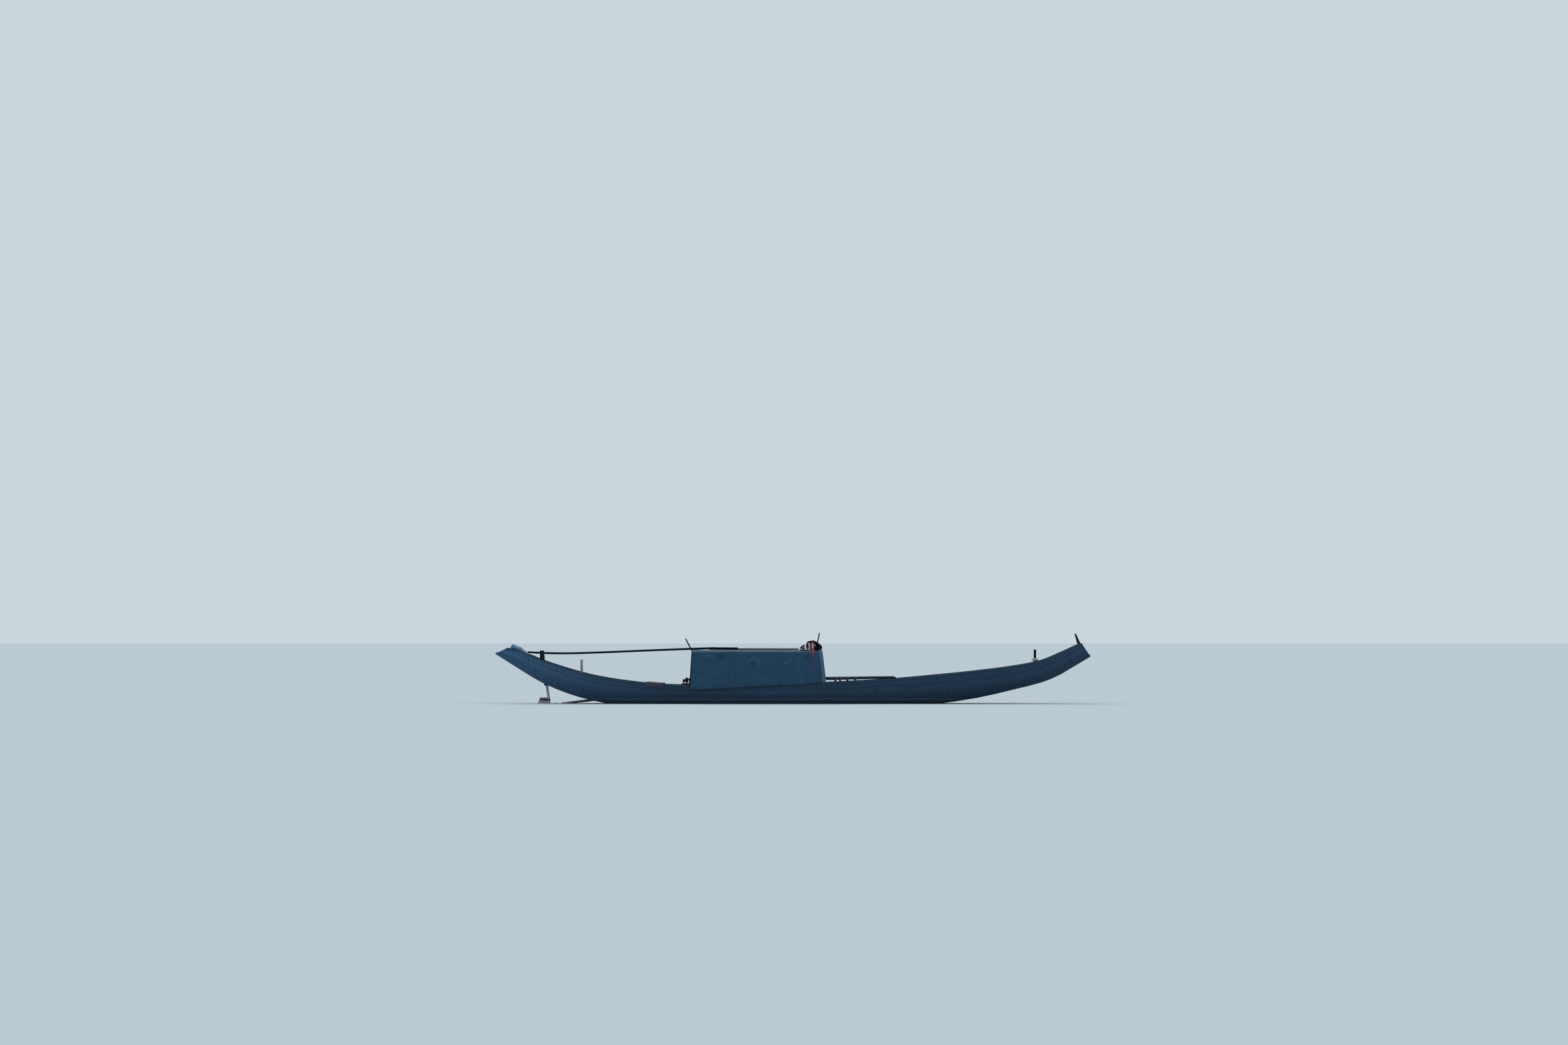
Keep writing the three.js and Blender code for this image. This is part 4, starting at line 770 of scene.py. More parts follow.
def gunwale_cap():
    """The cap is a rounded section carried along the sheer. On the raked ends it is cut to the rake,
    and a scarf joint is a shallow groove across it."""
    near = np.concatenate([station_at(np.array(CAP_SCARFS)) + d for d in (-0.008, 0.0, 0.008)])
    u = np.unique(np.concatenate([EVEN_STATIONS, near]))
    sheer, floor = fair(SHEER, u), fair(FLOOR, u)
    across = CAP_PROFILE[:, 0] + (CAP_OUTSIDE - CAP_INSIDE) / 2
    up = CAP_PROFILE[:, 1] - CAP_HEIGHT / 2
    rake = (floor[:, 0] - sheer[:, 0]) / (floor[:, 2] - sheer[:, 2])
    x = sheer[:, :1] + rake[:, None] * up
    scarf = np.abs(sheer[:, :1] - np.array(CAP_SCARFS)).min(1)[:, None] < 0.001
    wobble = 0.0006 * (np.sin(sheer[:, :1] * 5.3) - 1)
    top = (up > 0.004 - CAP_HEIGHT / 2) & (CAP_PROFILE[:, 1] > 0)
    y = sheer[:, 1:2] + across
    z = sheer[:, 2:] + up + (wobble - 0.002 * scarf) * top
    wear = np.broadcast_to((CAP_PROFILE[:, 1] > 0) * 0.3, y.shape)
    seam = np.broadcast_to(scarf * 0.8, y.shape)
    return lofted(grid(x, y, z), {"wear": wear, "seam": seam})


for side_name, side in SIDES:
    piece(f"gunwale_cap_{side_name}", sided(gunwale_cap(), side), "tarred",
          replaces=[f"gunwale_{side_name}"])

# Nails: two in each plank at every rib, and a row along each cap

RIBS = np.array([-4.88, -4.28, -3.64, -3.00, -2.36, -1.64, -0.93, -0.22, 0.47, 1.17, 1.88, 2.58, 3.28,
                 3.94, 4.76])


def hull_nails():
    """Nail heads on the outer planking, placed by fractions across the strakes at every rib."""
    u = station_at(RIBS)
    outer, inner = hull_knots(u)
    places, normals = [], []
    for first, last, fractions in ((0, 1, (0.1, 0.4, 0.6, 0.9)), (1, 3, (0.06, 0.27, 0.4, 0.6, 0.73, 0.94))):
        for f in fractions:
            g = np.full((len(u), 1), f)
            face = through(outer[:, first:last + 1], g)[:, 0]
            back = through(inner[:, first:last + 1], g)[:, 0]
            places.append(face + (back - face) * 0.07)
            normals.append(face - back)
    places, normals = np.concatenate(places), np.concatenate(normals)
    flip = np.array([1.0, -1.0, 1.0])
    return np.concatenate([places, places * flip]), np.concatenate([normals, normals * flip])


nails("hull_nails", *hull_nails())
cap_x = np.arange(-4.9, 4.95, 0.35)
cap_y = sheer_half(cap_x) + (CAP_OUTSIDE - CAP_INSIDE) / 2
cap_z = sheer_height(cap_x) - 0.0004
nails("cap_nails", [grid(cap_x, side * cap_y, cap_z) for side in (1, -1)], (0, 0, 1), 0.006)

# Cabin

CABIN_AFT, CABIN_FORE, CROWN, SHOULDER = -1.869, 0.531, 0.994, 0.900
AFT_RAKE, FORE_RAKE, FORE_FOOT = 0.062, 0.12, 0.593
RIM_WIDTH, EDGE_WIDTH, HOOP = 0.069, 0.026, 0.046
WALL = 0.016
LEAN = math.tan(math.radians(3))


def side_half(z):
    """The cabin's half width at a height: the sides lean in by three degrees."""
    return 0.790 - (z - 0.263) * LEAN


def aft_edge(z):
    """The cabin's aft edge at a height: a straight line that leans aft as it falls."""
    return CABIN_AFT - (CROWN - z) * AFT_RAKE


def fore_edge(z):
    """The cabin's fore edge at a height: it leans forward as it falls, and is upright low down."""
    return np.minimum(FORE_FOOT, CABIN_FORE + (CROWN - z) * FORE_RAKE)


ROOF_HALF = np.array([
    (side_half(SHOULDER), SHOULDER + SEAT), (0.754, 0.925), (0.744, 0.947), (0.722, 0.964), (0.690, 0.973),
    (0.560, 0.981), (0.380, 0.988), (0.190, 0.9925), (0.0, CROWN)])


def roof_curve(count=33):
    """The roof's outside from starboard to port: a smooth curve through the part's roof points."""
    rows = np.concatenate([ROOF_HALF * [-1, 1], ROOF_HALF[-2::-1]])
    along = travelled(rows)
    bend = count // 2
    return smooth_at(rows, along, np.unique(np.concatenate([
        np.linspace(0, along[4], bend), np.linspace(along[4], along[-5], count),
        np.linspace(along[-5], along[-1], bend)])))


def inwards(curve, depth):
    """The half widths and heights of a curve that runs from starboard over the top to port, moved
    in by a depth at each of its points, which the last axis of the depth counts."""
    way = unit(np.gradient(curve, axis=0))
    return curve[:, 0] + way[:, 1] * depth, curve[:, 1] - way[:, 0] * depth


ROOF_LAPS = [-1.10, -0.26]


def between_hoops(z, share):
    """The places along X at shares of the way between the aft hoop and the fore rim, at heights."""
    start = aft_edge(z) + EDGE_WIDTH + SEAT
    end = fore_edge(z) - RIM_WIDTH - SEAT
    return start + (end - start) * share


def roof_skin():
    """The roof is three sheets, each lapping the next by a millimetre or two, sagging a little
    between the hoops, but hardly at the crown, where the poles lie. Across it follows the roof curve."""
    curve = roof_curve()
    laps = np.concatenate([[lap - 0.0008, lap + 0.0008] for lap in ROOF_LAPS])
    t = np.unique(np.concatenate([np.linspace(0, 1, 49), (laps - CABIN_AFT) / (CABIN_FORE - CABIN_AFT)]))
    x = between_hoops(curve[:, 1], t[:, None])
    middle = x[:, len(curve) // 2, None]
    drop = 0.0012 * (np.array(ROOF_LAPS) < middle).sum(1)[:, None]
    hoops = np.array([-1.88, -1.08, -0.24, 0.5])
    k = np.clip(np.searchsorted(hoops, middle[:, 0]) - 1, 0, 2)
    phase = (middle[:, 0] - hoops[k]) / (hoops[k + 1] - hoops[k])
    sag = 0.0035 * np.clip(np.sin(np.pi * phase), 0, 1)[:, None]
    ripple = 0.0007 * (1 + np.sin(curve[:, 0] * 19 + middle * 3) * np.sin(middle * 11 + curve[:, 0] * 4))
    depth = (drop + sag + ripple) * np.interp(np.abs(curve[:, 0]), [0.22, 0.45], [0.15, 1.0])
    seam = (np.abs(middle - np.array(ROOF_LAPS)).min(1) < 0.001)[:, None] * 0.7 + 0 * x
    # Painted reflection: a lighter band along each shoulder of the roof stands for the sky shining on the
    # curve, using the mark and colour that worn wood uses elsewhere.
    wear = np.interp(np.abs(curve[:, 0]), [0.66, 0.70, 0.75], [0.0, 0.75, 0.1]) + 0 * x
    return walled(grid(x, *inwards(curve, depth)), grid(x, *inwards(curve, WALL)),
                  seam=(seam, 0 * seam), wear=(wear, 0 * wear))


piece("roof_skin", roof_skin(), "cabin_board", replaces=["cabin_roof"])


def hoop_bar(near, far, foot, radius=0.006):
    """A cabin hoop: a rounded section carried up one side, over the roof and down the other. near
    and far give its two faces' places along X at any height."""
    roof = roof_curve()
    leg = np.linspace(foot, SHOULDER - 0.004, 14)
    rows = np.concatenate([
        np.stack([-side_half(leg), leg], -1), roof[1:-1], np.stack([side_half(leg), leg], -1)[::-1]])
    profile = rounded_profile(1.0, HOOP, radius)
    inset = HOOP / 2 - profile[:, 1]
    y, z = (part.T for part in inwards(rows, inset[:, None]))
    side = profile[:, 0] + 0.5
    ease = radius * (np.abs(profile[:, 1]) > HOOP / 2 - radius * 0.6) * np.sign(0.5 - side)
    x = near(z) + (far(z) - near(z)) * (side > 0.5) + ease * 0.7
    wear = np.broadcast_to((inset < radius * 1.2) * 0.8, y.shape)
    return lofted(grid(x, y, z), {"wear": wear})


cap_top = float(sheer_height(-1.9)[0]) + SEAT
piece("aft_hoop_bar", hoop_bar(aft_edge, lambda z: aft_edge(z) + EDGE_WIDTH, cap_top),
      "dark_wood", replaces=["aft_hoop"])
cap_top = float(sheer_height(0.55)[0]) + 0.002
piece("fore_hoop_bar", hoop_bar(lambda z: fore_edge(z) - RIM_WIDTH, fore_edge, cap_top),
      "cabin_rim", replaces=["fore_hoop"])

PANEL_FOOT = np.array([(-1.888, 0.263), (-1.435, 0.277), (-1.041, 0.303), (-0.451, 0.332), (0.140, 0.352),
                       (0.524, 0.396)])
PANEL_SEAMS = (-1.08, -0.24)
# Smudges on the starboard side: x, z, half width, half height, slant, how much lighter or darker
SMUDGES = (
    (-1.575, 0.905, 0.085, 0.034, 0.0, 0.34), (-1.318, 0.890, 0.075, 0.060, 0.0, -0.30),
    (-0.745, 0.818, 0.065, 0.016, 0.25, 0.34), (-0.650, 0.808, 0.034, 0.020, -0.6, 0.36),
    (-0.652, 0.760, 0.022, 0.046, -0.3, 0.26), (-0.748, 0.738, 0.040, 0.042, 0.0, -0.24),
    (-0.110, 0.772, 0.070, 0.024, 0.75, 0.26), (0.086, 0.720, 0.014, 0.200, 0.0, 0.16),
    (0.145, 0.430, 0.022, 0.060, 0.0, 0.20), (0.250, 0.870, 0.050, 0.045, 0.0, -0.26),
    (-1.020, 0.640, 0.060, 0.035, 0.4, 0.12), (-0.260, 0.640, 0.045, 0.030, 0.0, 0.10),
    (-1.450, 0.560, 0.120, 0.080, 0.2, 0.08), (-0.620, 0.480, 0.150, 0.040, 0.0, 0.08),
    (-1.700, 0.420, 0.110, 0.100, 0.0, 0.10))


def smudged(x, z, shift):
    """The sum of the smudges: each is exp(-d^2) of the distance from its middle in its own half
    width and height, leaned over by its slant. The port side has them shifted along."""
    rows = np.array(SMUDGES).T[:, :, None, None]
    dx, dz = x[None] - rows[0] - shift, z[None] - rows[1]
    d = (dx / rows[2]) ** 2 + ((dz - rows[4] * dx) / rows[3]) ** 2
    return (rows[5] * np.exp(-d)).sum(0)


def cabin_panel(side):
    """One side of the cabin. Across the grid s runs from the aft hoop to the fore rim and t from the
    foot to the shoulder. The boards are pressed in between hoops by half a sine, ripple slightly,
    and meet in shallow grooves over the hoops."""
    near = np.concatenate([np.array(PANEL_SEAMS) + d for d in (-0.004, -0.0015, 0.0, 0.0015, 0.004)])
    guess = (near + 1.862) / (0.500 + 1.862)
    s = np.unique(np.concatenate([np.linspace(0, 1, 190), guess]))[:, None]
    t = np.linspace(0, 1, 56)[None]
    x = -1.88 + 2.40 * s + 0 * t
    for _ in range(4):
        foot = np.interp(x[:, :1], PANEL_FOOT[:, 0], PANEL_FOOT[:, 1])
        z = foot + (SHOULDER - SEAT - foot) * t
        x = between_hoops(z, s)
    hoops = np.array([-1.87, *PANEL_SEAMS, 0.50])
    k = np.clip(np.searchsorted(hoops, x) - 1, 0, 2)
    phase = np.clip((x - hoops[k]) / (hoops[k + 1] - hoops[k]), 0, 1)
    pressed = 0.0035 * np.sin(np.pi * phase) * np.sin(np.pi * t ** 0.8)
    ripple = 0.0008 * (1 + np.sin(9 * x + 2 * side) * np.sin(13 * z + 3 * x))
    gap = np.abs(x[..., None] - np.array(PANEL_SEAMS)).min(-1)
    groove = np.interp(gap, [0, 0.0015, 0.004], [0.0030, 0.0012, 0.0])
    half = side_half(z)
    tone = 1.7 * smudged(x, z, 0.0 if side < 0 else 0.21)
    # Painted light and shade: the boards are lighter over their top four centimetres, a painted highlight
    # under the roof's shoulder, and darker over their bottom five, a painted shadow at the foot.
    tone = tone + 0.10 * np.clip((z - 0.86) / 0.04, 0, 1) - 0.10 * np.clip(1 - (z - foot) / 0.05, 0, 1)
    bleed = 0.55 * np.exp(-((x - 0.372 - 0.05 * (0.8 - z)) / 0.020) ** 2) * np.clip((0.86 - z) / 0.10, 0, 1)
    bleed = bleed * np.clip((z - 0.56) / 0.14, 0, 1) * (side < 0)
    # The grooves over the hoops are dark joints; the dark line along the foot row is a painted shadow along
    # the joint where the panel meets the cap.
    seam = (gap < 0.001) * 0.85 + (t < 0.001) * 0.6
    quiet = 0 * x
    return walled(grid(x, side * (half - pressed - ripple - groove), z), grid(x, side * (half - WALL), z),
                  tone=(tone, quiet), bleed=(bleed, quiet), seam=(seam, quiet))


for side_name, side in SIDES:
    piece(f"cabin_panel_{side_name}", cabin_panel(side), "cabin_board",
          replaces=[f"cabin_side_{side_name}"])

nail_z = np.arange(0.42, 0.89, 0.075)
rows = [grid(x + dx, side * (side_half(nail_z) + 0.0002), nail_z)
        for side in (1, -1) for x in PANEL_SEAMS for dx in (-0.012, 0.012)]
low_x = np.arange(-1.78, 0.42, 0.14)
low_z = np.interp(low_x, PANEL_FOOT[:, 0], PANEL_FOOT[:, 1]) + 0.055
rows += [grid(low_x, side * (side_half(low_z) - 0.0012), low_z) for side in (1, -1)]
centres = np.concatenate(rows)
nails("cabin_nails", centres, np.sign(centres) * [0, 1, 0], 0.005, 0.0018)

# Poles


def pole(start, end, foot_radius, tip_radius, knots, seed):
    """A bamboo pole, with a raised ring and a swelling at each knot. The radius is a straight taper
    plus a narrow bump at each knot, drawn in just beside it."""
    start, end = np.asarray(start, float), np.asarray(end, float)
    length = float(np.linalg.norm(end - start))
    draw = np.random.default_rng(seed)
    places = np.cumsum(draw.uniform(0.8, 1.2, int(length / knots) + 2) * knots) - knots * 0.6
    places = places[places < length]
    along = np.unique(np.concatenate([
        np.linspace(0, length, max(8, int(length / 0.03))),
        *[np.clip(places + d, 0, length) for d in (-0.008, -0.004, -0.0015, 0.0, 0.0015, 0.004, 0.008)]]))
    path = start + (end - start) * (along / length)[:, None]
    radius = foot_radius + (tip_radius - foot_radius) * along / length
    gap = np.abs(along[:, None] - places).min(1) if len(places) else np.ones(len(along))
    radius = radius * (1 + np.interp(gap, [0, 0.002, 0.004, 0.012], [0.02, 0.0, -0.05, -0.02]))
    radius[[0, -1]] *= 0.93
    guide = (0.0, 0.0, 1.0) if abs((end - start)[2]) < 0.8 * length else (1.0, 0.0, 0.0)
    points, blocks, _ = tube(path, radius, 22, guide)
    seam = np.repeat((gap < 0.0016) * 0.5, 22)
    tone = np.repeat(0.12 * np.sin(along * 3.1 + seed), 22)
    return points, blocks, {"seam": seam, "tone": tone}


for node_name, foot, tip, foot_radius, tip_radius, knots, seed in (
        ("roof_pole", (-1.560, 0.080, 1.0066), (0.099, 0.080, 1.0052), 0.0135, 0.012, 0.24, 3),
        ("aft_stake", (-1.8725, -0.170, 0.969), (-1.994, -0.170, 1.202), 0.0125, 0.0115, 0.17, 4),
        ("fore_stake", (0.421, 0.640, 0.9775), (0.488, 0.640, 1.307), 0.0125, 0.011, 0.19, 5)):
    piece(f"{node_name}_bamboo", pole(foot, tip, foot_radius, tip_radius, knots, seed), "bamboo",
          replaces=[node_name])

RAIL_AFT, RAIL_FORE = 0.600, 1.880
RAIL_THICK, RAIL_THIN = 0.0248, 0.0168
RAIL_AFT_Z = 0.460
PEGS = (0.778, 0.864, 1.000, 1.148)
rail_fore_z = float(sheer_height(RAIL_FORE)[0]) + 0.017 + SEAT


def cap_middle(x):
    """The half width of the middle of the gunwale cap."""
    return float(sheer_half(x)[0]) + (CAP_OUTSIDE - CAP_INSIDE) / 2


def rail_point(x, z=None):
    """A point on the rail's straight line, or under it at a given height."""
    t = (x - RAIL_AFT) / (RAIL_FORE - RAIL_AFT)
    y = cap_middle(RAIL_AFT) + (cap_middle(RAIL_FORE) - cap_middle(RAIL_AFT)) * t
    return (x, y, RAIL_AFT_Z + (rail_fore_z - RAIL_AFT_Z) * t if z is None else z)


def rail_radius(x):
    """The rail's radius: an even taper from its thick end to its thin one."""
    return float(np.interp(x, [RAIL_AFT, RAIL_FORE], [RAIL_THICK, RAIL_THIN]))


def lashing(path_x, radius, turns, cord_radius):
    """Turns of cord wound round the rail: a helix about the rail's line, its pitch one cord."""
    t = np.linspace(0, 1, turns * 24 + 1)
    x = path_x + (t - 0.5) * turns * cord_radius * 2.05
    first, last = (np.array(rail_point(float(end))) for end in (x[0], x[-1]))
    line = first + (last - first) * t[:, None]
    turn = 2 * np.pi * turns * t
    line[:, 1] += (radius + cord_radius) * np.sin(turn)
    line[:, 2] += (radius + cord_radius) * np.cos(turn)
    return tube(line, cord_radius, 8, (1.0, 0.0, 0.0))


for side_name, side in SIDES:
    rail = [pole(rail_point(RAIL_AFT), rail_point(RAIL_FORE), RAIL_THICK, RAIL_THIN, 0.3, 8 + side)]
    for x in PEGS:
        foot = rail_point(x, float(sheer_height(x)[0]) + 0.001)
        rail.append(pole(foot, rail_point(x), 0.012, 0.011, 0.5, 20))
    piece(f"side_rail_pole_{side_name}", sided(joined(rail), side), "dark_wood",
          replaces=[f"side_rail_{side_name}"])
    turns = joined([lashing(x, rail_radius(x), 4, 0.0022) for x in PEGS])
    cord(f"side_rail_lashings_{side_name}", sided(turns, side), OLD_CORD)

# Stowed oar

OAR_Y = -0.104
oar_roof = float(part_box("stowed_oar")[1][2]) - 0.034
OAR_ROUTE = [(-4.924, OAR_Y, 0.950), (-4.650, OAR_Y, 0.935), (-4.155, OAR_Y, 0.928), (-3.642, OAR_Y, 0.942),
             (-2.690, OAR_Y, 0.980), (-1.869, OAR_Y, oar_roof), (-1.435, OAR_Y, oar_roof + 0.013)]


def oar_parts():
    """The loom is a round bar with a rounded grip end; the blade is a flat oval section whose half
    width grows from the loom, stays, and is rounded off at the tip."""
    path = smooth_path(OAR_ROUTE, 150)
    t = np.linspace(0, 1, 150)
    radius = np.interp(t, [0, 0.004, 0.012, 0.04, 0.05, 1], [0.008, 0.014, 0.018, 0.018, 0.0195, 0.0195])
    loom = tube(path, radius, 24)
    x = np.concatenate([np.linspace(-1.475, -1.40, 12), np.linspace(-1.38, -1.06, 24),
                        -1.021 - 0.036 * np.cos(np.linspace(0, np.pi / 2, 10)) ** 1.4])
    x = np.sort(x)
    half = np.interp(x, [-1.475, -1.455, -1.43, -1.40, -1.06, -1.045, -1.03, -1.021],
                     [0.018, 0.030, 0.050, 0.061, 0.061, 0.056, 0.044, 0.022])
    thick = np.interp(x, [-1.475, -1.42, -1.05, -1.021], [0.0165, 0.0155, 0.0105, 0.006])
    middle = oar_roof + 0.013 + 0.004 * (x + 1.475) / 0.454
    turn = around(32)
    c, s = np.cos(turn), np.sin(turn)
    y = OAR_Y + half[:, None] * np.sign(c) * np.abs(c) ** 0.7
    z = middle[:, None] + thick[:, None] * np.sign(s) * np.abs(s) ** 0.8
    return joined([loom, lofted(grid(x[:, None], y, z))])


piece("oar_loom_and_blade", oar_parts(), "bamboo", replaces=["stowed_oar"], smooth=50)

# Rope turned on the mooring post, in three layers


def laid_rope(path, radius, lay=0.055, strands=3, sides=18):
    """A rope of strands along a path. The section is a bulge for each strand, radius r(a) = R (0.78 +
    0.22 |cos(1.5 a)|) for three, and turns once for each length of lay."""
    side, over = frames_along(path)
    along = travelled(path)[:, None]
    turn = around(sides)
    bulge = radius * (0.78 + 0.22 * np.abs(np.cos(strands / 2 * turn)))
    twist = turn + 2 * np.pi * along / lay
    sections = (path[:, None] + side[:, None] * (np.cos(twist) * bulge)[..., None]
                + over[:, None] * (np.sin(twist) * bulge)[..., None])
    return sections, grid(along, turn * radius)


POST_X, ROWING_POST_X = 4.474, -3.897
ROPE_RADIUS = 0.0065


def post_turns():
    """One line wound up the post, down over itself and up again: a helix whose radius steps out by
    a rope at the end of each layer."""
    layers, path = [(0.0325, 4.8), (0.0447, 4.0), (0.0569, 2.9)], []
    low, high = 0.7885, 0.8370
    angle = 0.3
    for index, (radius, turns) in enumerate(layers):
        t = np.linspace(0, 1, int(turns * 46))
        rise = (high - low - index * 0.004) * turns / 4.9
        z = low + index * 0.002 + rise * (t if index % 2 == 0 else 1 - t)
        a = angle + 2 * np.pi * turns * t
        path.append(grid(POST_X + radius * np.cos(a), radius * np.sin(a), z))
        angle = a[-1] + 0.35
    rows = np.concatenate(path)
    for _ in range(3):
        rows[1:-1] = (rows[:-2] + 2 * rows[1:-1] + rows[2:]) / 4
    return rows


sections, uv = laid_rope(post_turns(), ROPE_RADIUS)
piece("mooring_rope", lofted(sections), "rope", replaces=["mooring_rope_turns"], smooth=60, uv=uv)

# Posts


def post_shape(x, y, low, top, radius=0.025):
    """A round post turned on an upright line, with an eased top and a worn waist for lines."""
    height = top - low
    rows = [(0, radius), (height * 0.5, radius), (height * 0.62, radius * 0.985),
            (height * 0.80, radius * 0.97), (height * 0.9, radius), (height - 0.006, radius),
            (height - 0.001, radius * 0.9), (height, radius * 0.8)]
    return turned(rows, (x, y, low), (x, y, top), 28)


for node_name, x, slot in (
        ("mooring_post", POST_X, "dark_wood"), ("rowing_post", ROWING_POST_X, "pale_wood")):
    low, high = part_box(node_name)
    wear = np.repeat([0, 0.2, 0.6, 0.6, 0.5, 0.6, 0.9, 0.9], 28)
    piece(f"{node_name}_shaped", post_shape(x, (low[1] + high[1]) / 2, low[2], high[2]), slot,
          replaces=[node_name], marks={"wear": wear})

# Rolled door curtain on the roof's fore end

ROLL_OUTLINE = np.array([
    (0.500, 0.9955), (0.522, 1.010), (0.534, 1.040), (0.524, 1.071), (0.484, 1.101), (0.444, 1.128),
    (0.410, 1.151), (0.360, 1.160), (0.300, 1.158), (0.258, 1.144), (0.238, 1.116), (0.230, 1.080),
    (0.232, 1.040), (0.244, 1.006), (0.270, 0.9955), (0.380, 0.9955)])
FLAP_ROUTE = [(0.300, 0.998), (0.240, 0.998), (0.180, 0.998), (0.136, 1.000), (0.123, 1.014), (0.130, 1.036),
              (0.152, 1.057), (0.176, 1.074), (0.199, 1.084), (0.212, 1.070), (0.206, 1.056), (0.186, 1.057),
              (0.160, 1.044), (0.145, 1.030), (0.152, 1.014), (0.176, 1.009), (0.200, 1.013), (0.205, 1.028),
              (0.186, 1.034), (0.168, 1.026)]
ROLL_X, ROLL_Z = 0.384, 1.074
ROLL_HALF = 0.556
ROLL_TURNS = 7.0
ROLL_END = 2 * np.pi * ROLL_TURNS + np.pi / 2
ROLL_TIES = (-0.30, 0.06, 0.40)
CLOTH = 0.0022


def closed_radius(outline, count=240):
    """An outline as its distance from the roll's middle for each angle: the points joined by
    straight lines, each point then averaged with its neighbours a few times."""
    x, z = outline[:, 0] - ROLL_X, ROLL_Z - outline[:, 1]
    a, r = np.arctan2(z, x) % (2 * np.pi), np.hypot(z, x)
    order = np.argsort(a)
    angle = around(count)
    radius = np.interp(angle, a[order], r[order], period=2 * np.pi)
    for _ in range(6):
        radius = (np.roll(radius, 1) + 2 * radius + np.roll(radius, -1)) / 4
    return angle, radius


ROLL_ANGLE, ROLL_RADIUS = closed_radius(ROLL_OUTLINE)


def roof_top(y):
    """The roof's height at a half width: between the part's roof points."""
    rows = ROOF_HALF[::-1]
    return np.interp(np.abs(y), rows[:, 0], rows[:, 1])


def pinch(y):
    """How far the ties draw the roll in: 1 away from them and less beside each."""
    near = np.abs(np.asarray(y)[..., None] - np.array(ROLL_TIES)).min(-1)
    return 1 - 0.13 * np.exp(-(near / 0.030) ** 2) - 0.035 * np.exp(-(near / 0.11) ** 2)


def roll_surface(angle, y, grow=0.0):
    """A point on the roll's winding: a spiral of the roll's own outline that grows evenly with the
    angle, drawn in at the ties, creased by waves that run along it and dented by broad ones."""
    part = 0.10 + 0.90 * np.clip(angle / ROLL_END, 0, 1) ** 0.62
    crease = (0.036 * np.sin(3 * angle + 9 * y) * np.sin(14 * y + 1.3 * angle)
              + 0.026 * np.sin(7 * angle - 23 * y) + 0.016 * np.sin(11 * angle + 51 * y)
              + 0.020 * np.sin(2 * angle + 5.5 * y + 1.0))
    radius = np.interp(angle, ROLL_ANGLE, ROLL_RADIUS, period=2 * np.pi)
    size = radius * pinch(y) * part * (0.968 + crease * part) + grow
    drift = 0.009 * (1 - 0.5 * part)
    x = ROLL_X + size * np.cos(angle) + drift * np.sin(6.5 * y + 0.27 * angle)
    return x, ROLL_Z - size * np.sin(angle) + drift * np.cos(8.1 * y + 0.31 * angle)


def rolled_curtain():
    """The curtain is one sheet: the spiral, then a loose end that lies aft along the roof and is
    folded over itself in a hump, whose inner turn wanders along the roll. It rests flat where the
    roof stops it, each turn a cloth's thickness over the turn outside it."""
    angle, y = np.meshgrid(np.linspace(0, ROLL_END, 420), np.linspace(-1, 1, 92), indexing="ij")
    ragged = 0.010 * np.sin(2.3 * angle) + 0.006 * np.sin(5.1 * angle + 2)
    across = y * (ROLL_HALF - 0.010 + ragged * np.sign(y) * y ** 6)
    x, z = roll_surface(angle, across)
    y_end = across[-1:]
    flap = smooth_path([(a, 0.0, b) for a, b in FLAP_ROUTE], 96)
    t = np.linspace(0, 1, 96)[:, None]
    loose = np.clip((0.262 - flap[:, :1]) / 0.08, 0, 1)
    wave = np.sin(8 * y_end + 5 * t) + 0.6 * np.sin(19 * y_end - 4 * t)
    flap_x = flap[:, :1] + loose * (0.006 + 0.0045 * wave)
    flap_z = 0.998 + (flap[:, 2:] - 0.998) * (0.90 + 0.075 * np.sin(11 * y_end + 2 * t) * loose)
    flap_y = y_end * (1 - 0.030 * t * loose)
    inner = np.clip((t - 0.62) / 0.10, 0, 1)
    flap_x = flap_x + inner * 0.007 * np.sin(13 * y_end + 1)
    flap_z = flap_z + inner * 0.006 * np.sin(17 * y_end + 2)
    settle = np.clip((t - 0.02) / 0.05, 0, 1)
    flap_x = x[-1:] * (1 - settle) + flap_x * settle
    x = np.concatenate([x, flap_x])
    z = np.concatenate([z, flap_z])
    across = np.concatenate([across, flap_y])
    turns_left = np.concatenate([(ROLL_END - angle) / (2 * np.pi), 0 * flap_x])
    z = np.maximum(z, roof_top(across) + 0.002 + turns_left * 0.0032)
    points = grid(x, across, z)
    along = travelled(points[:, 46])
    return points, grid(along[:, None], across), float(along[-1])


points, uv, cut_length = rolled_curtain()
curtain = sheet_piece("door_curtain", points, uv, "dark_cloth", CLOTH, replaces=["door_curtain_roll"])


